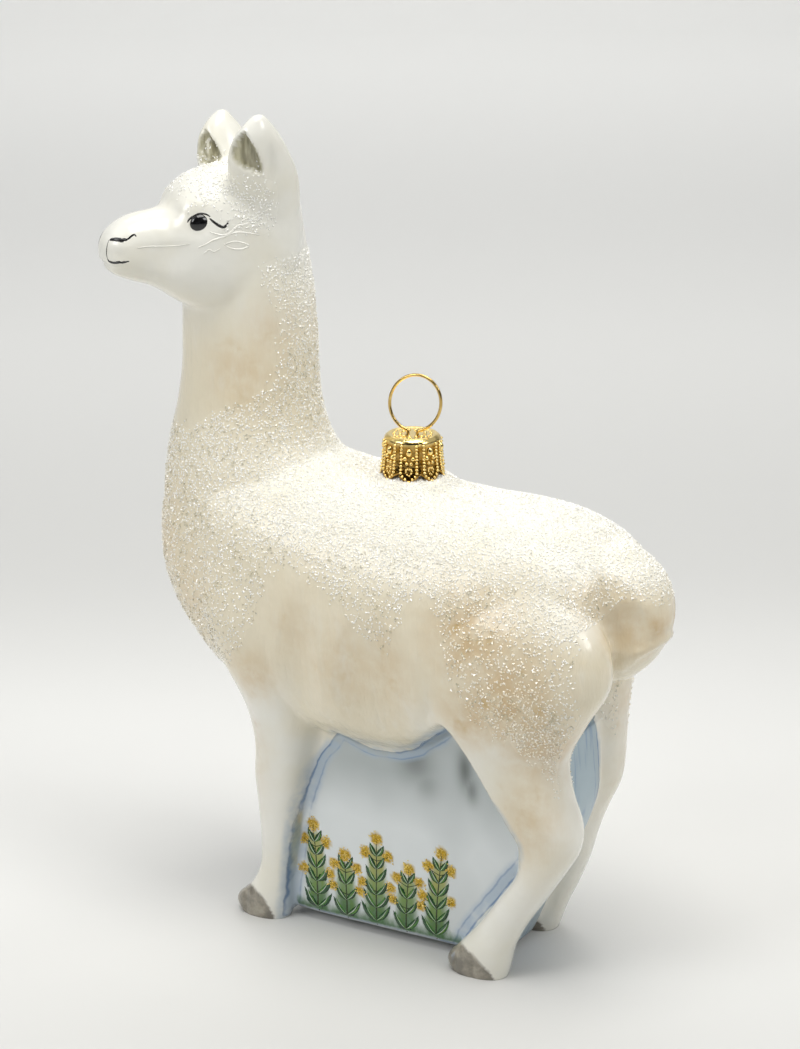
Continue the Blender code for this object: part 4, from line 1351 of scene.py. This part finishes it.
def brush_stroke(bm, path, widths, rise):
    """Adds a raised line of paint to bm: path holds (point, outward normal), widths the width at each."""
    rows = []
    for i, ((point, normal), width) in enumerate(zip(path, widths)):
        before, after = path[max(i - 1, 0)][0], path[min(i + 1, len(path) - 1)][0]
        along = (after - before).normalized()
        across = normal.cross(along).normalized() * width / 2
        rows.append(
            [
                bm.verts.new(point - across - normal * 0.02),
                bm.verts.new(point + normal * rise),
                bm.verts.new(point + across - normal * 0.02),
                bm.verts.new(point - normal * 0.08),
            ]
        )
    join_rings(bm, rows)
    bm.faces.new(rows[0][::-1])
    bm.faces.new(rows[-1])


def onto(tree, start, direction):
    """Where a line from start meets the skin: (point, normal), or None."""
    point, normal, _, _ = tree.ray_cast(start, direction)
    return None if point is None else (point, normal)


# Lines on the left side of the face, in the head's own frame: ((forward, height) points, widest width in mm).
FACE_LINES = [
    ([(12.0, 127.8), (11.7, 128.3), (11.0, 128.8), (10.2, 129.2), (9.2, 129.25), (8.4, 128.8)], 0.55),  # lid
    ([(8.5, 128.5), (7.9, 127.9), (7.2, 127.35), (6.5, 127.05), (5.9, 127.3), (5.5, 127.9)], 0.72),  # lash
]
SNOUT_LINES = [
    ([(24.5, 124.85), (23.8, 125.0), (22.6, 125.05), (21.4, 125.05), (20.4, 125.15)], 0.85),  # nostril
    ([(21.0, 125.1), (20.2, 125.3), (19.6, 125.75), (19.1, 125.9), (18.7, 125.6)], 0.45),  # its tail
    ([(24.9, 121.6), (24.5, 121.2), (23.4, 121.1), (21.8, 121.25), (20.0, 121.45)], 0.62),  # mouth
    ([(24.75, 124.8), (25.05, 123.6), (25.1, 122.4), (24.9, 121.6)], 0.3),  # parting of the lip
]
LINE_RISE, DRIP_RISE = 0.05, 0.11  # how far each stands up from the glass
SNOUT_LEAN = 0.75  # the snout's lines are laid on from this far towards the nose
# Where clear lacquer ran below the glitter of the cheek: ((forward, height) points, widest width in mm).
DRIPS = [
    ([(10.7, 123.7), (9.3, 124.3), (8.2, 124.9), (6.5, 125.4), (4.7, 126.0), (2.8, 125.9), (0.1, 125.3)], 0.4),
    ([(8.7, 126.3), (7.6, 125.9), (6.3, 125.7), (5.1, 126.2), (4.0, 127.1), (2.6, 127.3), (1.3, 127.1)], 0.36),
    ([(6.3, 124.2), (4.4, 124.5), (2.2, 123.7), (3.5, 123.1), (5.4, 123.4), (6.5, 124.2)], 0.38),
    ([(20.5, 123.7), (18.5, 123.9), (16.0, 123.8), (13.7, 123.9), (12.0, 124.3)], 0.18),
    ([(9.8, 122.6), (9.0, 123.3), (8.2, 122.9), (7.2, 123.4)], 0.26),
    ([(3.6, 127.6), (2.2, 128.2), (0.6, 127.8), (-0.4, 128.9), (-1.6, 129.6)], 0.28),
]


def face_lines(tree):
    """Lids, lashes, nostrils and mouth, as raised lines of paint on both sides of the face."""
    bm = bmesh.new()
    for side in (1, -1):
        for points, wide in FACE_LINES:
            stroke_from_side(bm, tree, points, wide, side, 0.0, LINE_RISE)
        for points, wide in SNOUT_LINES:
            stroke_from_side(bm, tree, points, wide, side, SNOUT_LEAN, LINE_RISE)
    return finished(bm, "face_lines")


def lacquer_runs(tree):
    """The drips of clear lacquer on both cheeks."""
    bm = bmesh.new()
    for side in (1, -1):
        for points, wide in DRIPS:
            stroke_from_side(bm, tree, points, wide, side, 0.0, DRIP_RISE)
    return finished(bm, "lacquer_runs")


def stroke_from_side(bm, tree, points, wide, side, forward_lean, rise):
    """Throws a line at the head from its side; forward_lean turns the throw towards the nose."""
    path = []
    for forward, height in eased_path(points, 8 + 4 * len(points)):
        direction = Vector((-forward_lean, -side, 0.0)).normalized()
        aim = Vector((forward, side * (2.4 if forward_lean else 6.0), height))
        start = aim - direction * THROW
        a, b = from_head(*start), from_head(*(start + direction))
        hit = onto(tree, a, b - a)
        if hit and (not path or (hit[0] - path[-1][0]).length < 2.0):
            path.append(hit)
    if len(path) > 2:
        taper = [wide * (0.3 + 0.7 * math.sin(math.pi * (i + 0.5) / len(path)) ** 0.6) for i in range(len(path))]
        brush_stroke(bm, path, taper, rise)


def finished(bm, name):
    """bm as a smooth mesh with its faces outwards."""
    bmesh.ops.recalc_face_normals(bm, faces=bm.faces)
    mesh = bpy.data.meshes.new(name)
    bm.to_mesh(mesh)
    bm.free()
    mesh.shade_smooth()
    return mesh


def panel_stroke(bm, tree, side, spots, widths, rise):
    """A stroke through spots given as Y and Z, left out where it would run off the panel's flat face."""
    hits = [onto(tree, Vector((side * THROW, y, z)), Vector((-side, 0, 0))) for y, z in spots]
    if all(hit and abs(hit[0].x) < PANEL_OUTERMOST and abs(hit[1].x) > PANEL_FACING for hit in hits):
        brush_stroke(bm, hits, widths, rise)


# One coat on the leaves: (length and width as shares of the leaf's, how far it wanders, height of the paint, seed).
LEAF_BODIES = (1.0, 1.0, 0.1, 0.04, 5)
LEAF_SHADES = (0.85, 0.5, 0.16, 0.07, 7)
LEAF_VEINS = (0.8, 0.15, 0.04, 0.1, 9)
LEAF_WIDTH, LEAF_LENGTH, LEAF_SHORTENING = 1.65, 4.4, 1.7  # the leaves shorten towards the tip of a sprig
LEAF_TAPER = (0.2, 0.66, 0.97, 1.0, 0.8, 0.46, 0.08)  # width along a leaf, as a share of its widest
PAIR_GAP = 2.7  # between two pairs of leaves
STEM_STEPS = 12


def leaves(tree, coat):
    """One coat of paint on the paired leaves of every sprig, on both panels."""
    long, wide, wander, rise, seed = coat
    widths = [LEAF_WIDTH * wide * w for w in LEAF_TAPER]
    pick = random.Random(seed)
    bm = bmesh.new()
    for side in (1, -1):
        for sprig in SPRIGS:
            pairs = round(sprig[1] / PAIR_GAP)
            for n in range(pairs):
                share = 0.06 + 0.8 * n / (pairs - 1)
                root_y, root_z = sprig_spot(sprig, share)
                length = long * (LEAF_LENGTH - LEAF_SHORTENING * share) * pick.uniform(0.92, 1.06)
                for way in (-1, 1):
                    lean = 1.1 - 0.3 * share + pick.uniform(-wander, wander)
                    spots = []
                    for k in range(len(widths)):
                        along = k / (len(widths) - 1)
                        angle = way * lean * (1 - 0.35 * along)  # each leaf curls up towards its tip
                        y = root_y + length * along * math.sin(angle)
                        spots.append((y, root_z + length * along * math.cos(angle)))
                    panel_stroke(bm, tree, side, spots, widths, rise)
    return finished(bm, "leaves")


def stems(tree):
    """The stem of every sprig and the stalks of its berries."""
    bm = bmesh.new()
    for side in (1, -1):
        for sprig in SPRIGS:
            spots = [sprig_spot(sprig, k / (STEM_STEPS - 1)) for k in range(STEM_STEPS)]
            panel_stroke(bm, tree, side, spots, [0.42 - 0.02 * k for k in range(STEM_STEPS)], 0.09)
        for (stem_y, stem_z), (at_y, at_z), _ in berry_spots():
            path = [(k / 4, math.sin(math.pi * k / 8)) for k in range(5)]
            spots = [(stem_y + (at_y - stem_y) * up, stem_z + (at_z - stem_z) * t) for t, up in path]
            panel_stroke(bm, tree, side, spots, [0.24, 0.2, 0.18, 0.18, 0.16], 0.06)
    return finished(bm, "stems")


# ---- Eyes ----


def eye_mesh(side):
    """The painted eye: a thick drop of black enamel, rounder than the face."""
    bm = bmesh.new()
    bmesh.ops.create_uvsphere(bm, u_segments=40, v_segments=24, radius=1.0)
    for vert in bm.verts:
        v = vert.co
        vert.co = from_head(
            EYE_AT[0] + v.x * EYE_RADII[0],
            side * (EYE_AT[1] + v.y * EYE_RADII[1] - EYE_SLANT * v.x),
            EYE_AT[2] + v.z * EYE_RADII[2],
        )
    return finished(bm, "eye")


# ---- Cap and ring ----

CAP_TABS = 8
CAP_STEPS = 24  # points round one tab
CAP_WALL = 0.35
CAP_TIP, CAP_NOTCH, CAP_TOP = 84.1, 85.6, 92.0
CAP_SHOULDER = CAP_TOP - 0.9  # where the wall starts to round over to the top
CAP_FOOT_RADIUS, CAP_BODY_RADIUS, CAP_FLAT_RADIUS = 5.55, 4.95, 4.0
CAP_LEVELS = [i / 14 for i in range(15)]
WIRE_RADIUS = 0.28
RING_RADIUS, RING_RISE, RING_HEIGHT = 4.7, 5.0, 97.3  # half its width, half its height, and its middle
RING_LEAN = 0.96  # how far its top hangs over to one side
RING_TWIST = math.radians(8)
RING_FOOT_ANGLE = math.radians(16)
RING_FOOT = 0.85
RING_STEPS = 96
WIRE_FOOT = 86.5
PIKE_BORE = 3.3  # inner radius of the glass neck, which the wire's legs spring against


def cap_point(turn, level, inset):
    """A point of the cap's wall: turn and level go from 0 to 1, inset is the wall's depth inwards."""
    across = abs((turn * CAP_TABS) % 1.0 - 0.5) * 2
    foot = CAP_TIP + (CAP_NOTCH - CAP_TIP) * min(1.0, across * 1.2)
    height = foot + (CAP_SHOULDER - foot) * level
    flare = (CAP_FOOT_RADIUS - CAP_BODY_RADIUS) * (1 - level) ** 2
    # Between two tabs the sheet is folded in; each tab's field is pressed in, its rim stands up.
    fold = 0.55 * float(step_up(across, 0.8, 0.92)) * (1 - 0.8 * level**3)
    field = 0.0 if inset else 0.14 * float(step_up(across, 0.62, 0.5)) * float(step_up(abs(level - 0.5), 0.47, 0.4))
    radius = CAP_BODY_RADIUS + flare - fold - inset - field
    angle = 2 * math.pi * turn
    return Vector((radius * math.cos(angle) + CAP_AT[0], radius * math.sin(angle) + CAP_AT[1], height))


def cap_rings(inset):
    """The cap's wall and top as rings of points, from its foot to its middle."""
    count = CAP_TABS * CAP_STEPS
    rings = [[cap_point(i / count, level, inset) for i in range(count)] for level in CAP_LEVELS]
    crown = (
        (CAP_BODY_RADIUS - 0.08, CAP_TOP - 0.62),
        (CAP_BODY_RADIUS - 0.3, CAP_TOP - 0.35),
        (CAP_BODY_RADIUS - 0.62, CAP_TOP - 0.12),
        (CAP_FLAT_RADIUS, CAP_TOP),
        (CAP_FLAT_RADIUS - 0.25, CAP_TOP - 0.12),
        (2.6, CAP_TOP - 0.16),
        (1.2, CAP_TOP - 0.16),
    )
    for radius, height in crown:
        ring = []
        for i in range(count):
            angle = 2 * math.pi * i / count
            r = radius - min(inset, 0.3)
            ring.append(Vector((r * math.cos(angle), r * math.sin(angle) + CAP_AT[1], height - inset)))
        rings.append(ring)
    return rings


def cap_cup():
    """The cap's sheet: an outer and an inner skin joined round the foot."""
    bm = bmesh.new()
    skins = []
    for inset in (0.0, CAP_WALL):
        rings = [[bm.verts.new(p) for p in ring] for ring in cap_rings(inset)]
        bm.faces.new(rings[-1])
        skins.append(rings)
        join_rings(bm, rings)
    outer, inner = skins[0][0], skins[1][0]
    for i in range(len(outer)):
        j = (i + 1) % len(outer)
        bm.faces.new((outer[i], inner[i], inner[j], outer[j]))
    return bm


def bead(bm, centre, radius, stretch=1.0):
    """A round bead; stretch makes it taller or flatter."""
    made = bmesh.ops.create_icosphere(bm, subdivisions=2 if radius > 0.3 else 1, radius=radius)
    for vert in made["verts"]:
        vert.co.z *= stretch
    bmesh.ops.translate(bm, verts=made["verts"], vec=centre)


def add_beading(bm):
    """Stamped relief: beads round every tab, a drop, four dots and a small ring in its field, two rings on top."""
    for tab in range(CAP_TABS):
        middle = (tab + 0.5) / CAP_TABS

        def at(across, level, inset=0.0):
            return cap_point(middle + across / 2 / CAP_TABS, level, inset)

        for side in (1, -1):
            for i in range(9):
                bead(bm, at(side * 0.68, 0.15 + 0.81 * i / 8), 0.33, 0.8)
            for i in range(3):
                bead(bm, at(side * (0.54 - 0.24 * i), 0.085 - 0.012 * i), 0.3)
        bead(bm, at(0.0, 0.06), 0.34)
        bead(bm, at(0.0, 0.8), 0.56, 1.4)
        for side in (1, -1):
            bead(bm, at(side * 0.36, 0.61), 0.42)
            bead(bm, at(side * 0.2, 0.5), 0.34)
        for i in range(9):
            angle = 2 * math.pi * i / 9
            bead(bm, at(0.26 * math.cos(angle), 0.3 + 0.08 * math.sin(angle)), 0.22)
    for count, radius, size in ((22, 3.25, 0.3), (12, 2.2, 0.34)):
        for i in range(count):
            angle = 2 * math.pi * (i + 0.5) / count
            centre = (radius * math.cos(angle) + CAP_AT[0], radius * math.sin(angle) + CAP_AT[1], CAP_TOP - 0.18)
            bead(bm, centre, size, 0.7)


def mark_raised(mesh, values):
    """Stores how far each point stands up from the stamped sheet, 0 to 1; the brass paints shade and dark reflection
    where it is low.
    """
    layer = mesh.attributes.new("raised", "FLOAT", "POINT")
    layer.data.foreach_set("value", values.astype(np.float32))


def cap_mesh():
    bm = cap_cup()
    sheet = len(bm.verts)
    add_beading(bm)
    mesh = finished(bm, "cap")
    points = mesh_points(mesh)
    raised = np.ones(len(points))
    # The fields of the tabs and the folds between them lie low, where the brass paints shade; the top and every bead
    # stand up.
    raised[:sheet] = step_up(points[:sheet, 2], CAP_TOP - 1.5, CAP_TOP - 0.5)
    mark_raised(mesh, raised)
    return mesh


def ring_place(across, height):
    """A place in the plane of the wire ring, which is turned a little on the cap."""
    return Vector(
        (CAP_AT[0] - across * math.sin(RING_TWIST), CAP_AT[1] + across * math.cos(RING_TWIST), height)
    )


def ring_mesh():
    """The wire ring, swept as a round wire along its loop and its two spring legs."""
    start = -math.pi / 2 + RING_FOOT_ANGLE
    sweep = 2 * math.pi - 2 * RING_FOOT_ANGLE
    loop = []
    for i in range(RING_STEPS + 1):
        angle = start + sweep * i / RING_STEPS
        lean = RING_LEAN * (1 + math.sin(angle)) / 2
        loop.append(ring_place(lean + RING_RADIUS * math.cos(angle), RING_HEIGHT + RING_RISE * math.sin(angle)))
    spread = PIKE_BORE - WIRE_RADIUS - 0.3
    leg = [(spread, WIRE_FOOT), (RING_FOOT, CAP_TOP - 1.2), (RING_FOOT, CAP_TOP), (RING_FOOT + 0.06, CAP_TOP + 0.28)]
    right = [ring_place(across, height) for across, height in leg]
    left = [ring_place(-across, height) for across, height in reversed(leg)]
    curve = bpy.data.curves.new("hanger_ring", "CURVE")
    curve.dimensions = "3D"
    curve.bevel_depth = WIRE_RADIUS
    curve.bevel_resolution = 4
    curve.use_fill_caps = True
    line = curve.splines.new("POLY")
    points = right + loop + left
    line.points.add(len(points) - 1)
    for spot, at in zip(line.points, points):
        spot.co = (*at, 1.0)
    mesh = evaluated_mesh(bare_object("hanger_ring", curve))
    # Painted shade and dark reflection: the wire takes part of the brass's shaded brown.
    mark_raised(mesh, np.full(len(mesh.vertices), 0.45))
    mesh.shade_smooth()
    return mesh


# ---- Studio ----

# The sweep in metres. Its foot is far enough back for a camera to stand between it and the ornament.
SWEEP_FOOT, SWEEP_BEND, SWEEP_HEIGHT, SWEEP_REACH = 1.05, 0.12, 1.2, 1.5
CAMERA_AZIMUTH, CAMERA_HEIGHT_ANGLE, CAMERA_DISTANCE = 120.0, 17.5, 560.0
CAMERA_TARGET = (0.0, 0.0, 75.0)
LENS, SENSOR_HEIGHT = 110.5, 36.0
LAMP_AIM = (0, 0, 70)
BACKDROP_AIM = (-675, -390, 0)  # a place on the paper behind the ornament


def looking_back(azimuth, rise):
    """The way from the ornament to what looks at it from a direction given in degrees."""
    turn, up = math.radians(azimuth), math.radians(rise)
    return Vector((math.sin(turn) * math.cos(up), -math.cos(turn) * math.cos(up), math.sin(up)))


def build_sweep():
    """Floor and backdrop in one curved sheet of paper, turned to stand behind the ornament."""
    bm = bmesh.new()
    foot, bend = SWEEP_FOOT, SWEEP_BEND
    profile = [(-SWEEP_REACH, 0.0), (foot, 0.0)]
    profile += [(foot + bend * math.sin(a), bend - bend * math.cos(a)) for a in np.linspace(0.05, math.pi / 2, 24)]
    profile += [(foot + bend, SWEEP_HEIGHT)]
    rows = [[bm.verts.new((side, back, up)) for side in (-SWEEP_REACH, SWEEP_REACH)] for back, up in profile]
    for a, b in zip(rows, rows[1:]):
        bm.faces.new((a[0], a[1], b[1], b[0]))
    bmesh.ops.rotate(bm, verts=bm.verts, cent=(0, 0, 0), matrix=Matrix.Rotation(math.radians(CAMERA_AZIMUTH), 3, "Z"))
    mesh = bpy.data.meshes.new("paper_sweep")
    bm.to_mesh(mesh)
    bm.free()
    mesh.shade_smooth()
    mesh.materials.append(paper_sheet())
    bare_object("paper_sweep", mesh)


def build_camera():
    """A long lens a little above the ornament, behind its left shoulder."""
    back = looking_back(CAMERA_AZIMUTH, CAMERA_HEIGHT_ANGLE)
    target = (Vector(CAMERA_TARGET) + Vector(SHIFT)) * MM
    data = bpy.data.cameras.new("camera")
    data.sensor_fit = "VERTICAL"
    data.sensor_height = SENSOR_HEIGHT
    data.lens = LENS
    data.clip_start = 0.02
    camera = bare_object("camera", data)
    camera.location = target + back * CAMERA_DISTANCE * MM
    camera.rotation_euler = back.to_track_quat("Z", "Y").to_euler()
    bpy.context.scene.camera = camera


def add_light(name, azimuth, rise, distance, size, power, colour="#FFFFFF", aim=LAMP_AIM):
    """A soft box that looks at aim, in mm, from a direction given in degrees; distance and size are in metres."""
    back = looking_back(azimuth, rise)
    data = bpy.data.lights.new(name, "AREA")
    data.size = size
    data.energy = power
    data.color = linear(colour)[:3]
    light = bare_object(name, data)
    light.location = (Vector(aim) + Vector(SHIFT)) * MM + back * distance
    light.rotation_euler = back.to_track_quat("Z", "Y").to_euler()


def build_light():
    """A pale ceiling over a dim room, darkest behind the camera, with soft boxes above and at either side."""
    world = bpy.data.worlds.new("studio")
    bpy.context.scene.world = world
    world.use_nodes = True
    tree = world.node_tree
    tree.nodes.clear()
    way = add_node(tree, "ShaderNodeTexCoord", output="Generated")
    rise = add_node(tree, "ShaderNodeSeparateXYZ", {"Vector": way}, "Z")
    rise = add_node(tree, RANGE, {"Value": rise, "From Min": 0.0, "From Max": 0.55}, **EASED)
    room = add_node(tree, MIX, {0: rise, 6: "#8C8D8C", 7: "#F4F6F8"}, 2, **PAINT)
    turn = math.radians(CAMERA_AZIMUTH)
    to_camera = (math.sin(turn) * 0.97, -math.cos(turn) * 0.97, 0.24)
    dark = add_node(tree, "ShaderNodeVectorMath", {0: way, 1: to_camera}, "Value", operation="DOT_PRODUCT")
    dark = add_node(tree, RANGE, {"Value": dark, "From Min": 0.5, "From Max": 0.88, "To Max": 0.92}, **EASED)
    room = add_node(tree, MIX, {0: dark, 6: room, 7: "#1E1C1A"}, 2, **PAINT)
    light = add_node(tree, "ShaderNodeBackground", {"Color": room, "Strength": 0.52})
    add_node(tree, "ShaderNodeOutputWorld", {"Surface": light})
    add_light("overhead", 145, 78, 0.8, 0.55, 4.8, "#FFFDF8")
    add_light("near_window", 60, 32, 0.9, 0.4, 2.45)
    add_light("far_window", 172, 34, 0.9, 0.3, 1.45)
    add_light("backdrop_lamp", 0, 90, 0.8, 0.7, 2.0, aim=BACKDROP_AIM)


# ---- Assembly ----


def build_glass(black):
    """The skin with its coats of glitter and everything painted on it."""
    skin = skin_mesh()
    paint_masks(skin)
    tree = BVHTree.FromPolygons([v.co for v in skin.vertices], [p.vertices for p in skin.polygons])
    grains = grain_glass()
    coarse = grain_tree("glass_grains", grains)
    for i, coat in enumerate(GLITTER_COATS[: len(GLITTER_COATS)]):
        name = "glitter_%d" % (i + 1)
        add_piece(name, strew(name, skin, coarse, "glitter", coat), grains)
    add_piece("flakes", strew("flakes", skin, coarse, "flakes", FLAKE_COAT), grains)
    gold = gold_grain()
    mesh = strew("berry_glitter", skin, grain_tree("gold_grains", gold), "berry", BERRY_COAT)
    add_piece("berry_glitter", mesh, gold)
    add_piece("face_lines", face_lines(tree), black)
    add_piece("lacquer_runs", lacquer_runs(tree), lacquer_drip())
    for name, green, second, coat in (
        ("leaf_bodies", LEAF_DARK, "#2A5E30", LEAF_BODIES),
        ("leaf_shades", LEAF_MID, "#6F9A3C", LEAF_SHADES),
        ("leaf_veins", LEAF_PALE, "#C2CDBB", LEAF_VEINS),
    ):
        add_piece(name, leaves(tree, coat), enamel(name + "_enamel", green, second))
    add_piece("stems", stems(tree), enamel("stem_enamel", "#2A3A16", "#3C4A1C"))
    nodes = ["head", "neck", "trunk", "tail", "ear_left", "ear_right", "leg_web"]
    corners = ("front_left", "front_right", "hind_left", "hind_right")
    nodes += [part + "_" + corner for part in ("leg", "hoof") for corner in corners]
    add_piece("glass_skin", skin, lacquered_glass(), nodes)


def main():
    """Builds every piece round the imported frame, then the studio."""
    global SHIFT
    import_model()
    SHIFT = cap_shift()
    black = enamel("black_enamel", BLACK_ENAMEL, "#1C1C1E", 0.12)
    build_glass(black)
    for name, side in (("left", 1), ("right", -1)):
        add_piece("eye_drop_" + name, eye_mesh(side), black, ["eye_" + name])
    brass = stamped_brass()
    add_piece("crown_cap", cap_mesh(), brass, ["cap"])
    add_piece("wire_ring", ring_mesh(), brass, ["hanger_ring"])
    pike = bpy.data.objects["pike"]
    pike.data.materials.clear()
    pike.data.materials.append(silvered_glass())
    build_sweep()
    build_camera()
    build_light()
    bpy.context.scene.view_settings.view_transform = "Standard"


main()
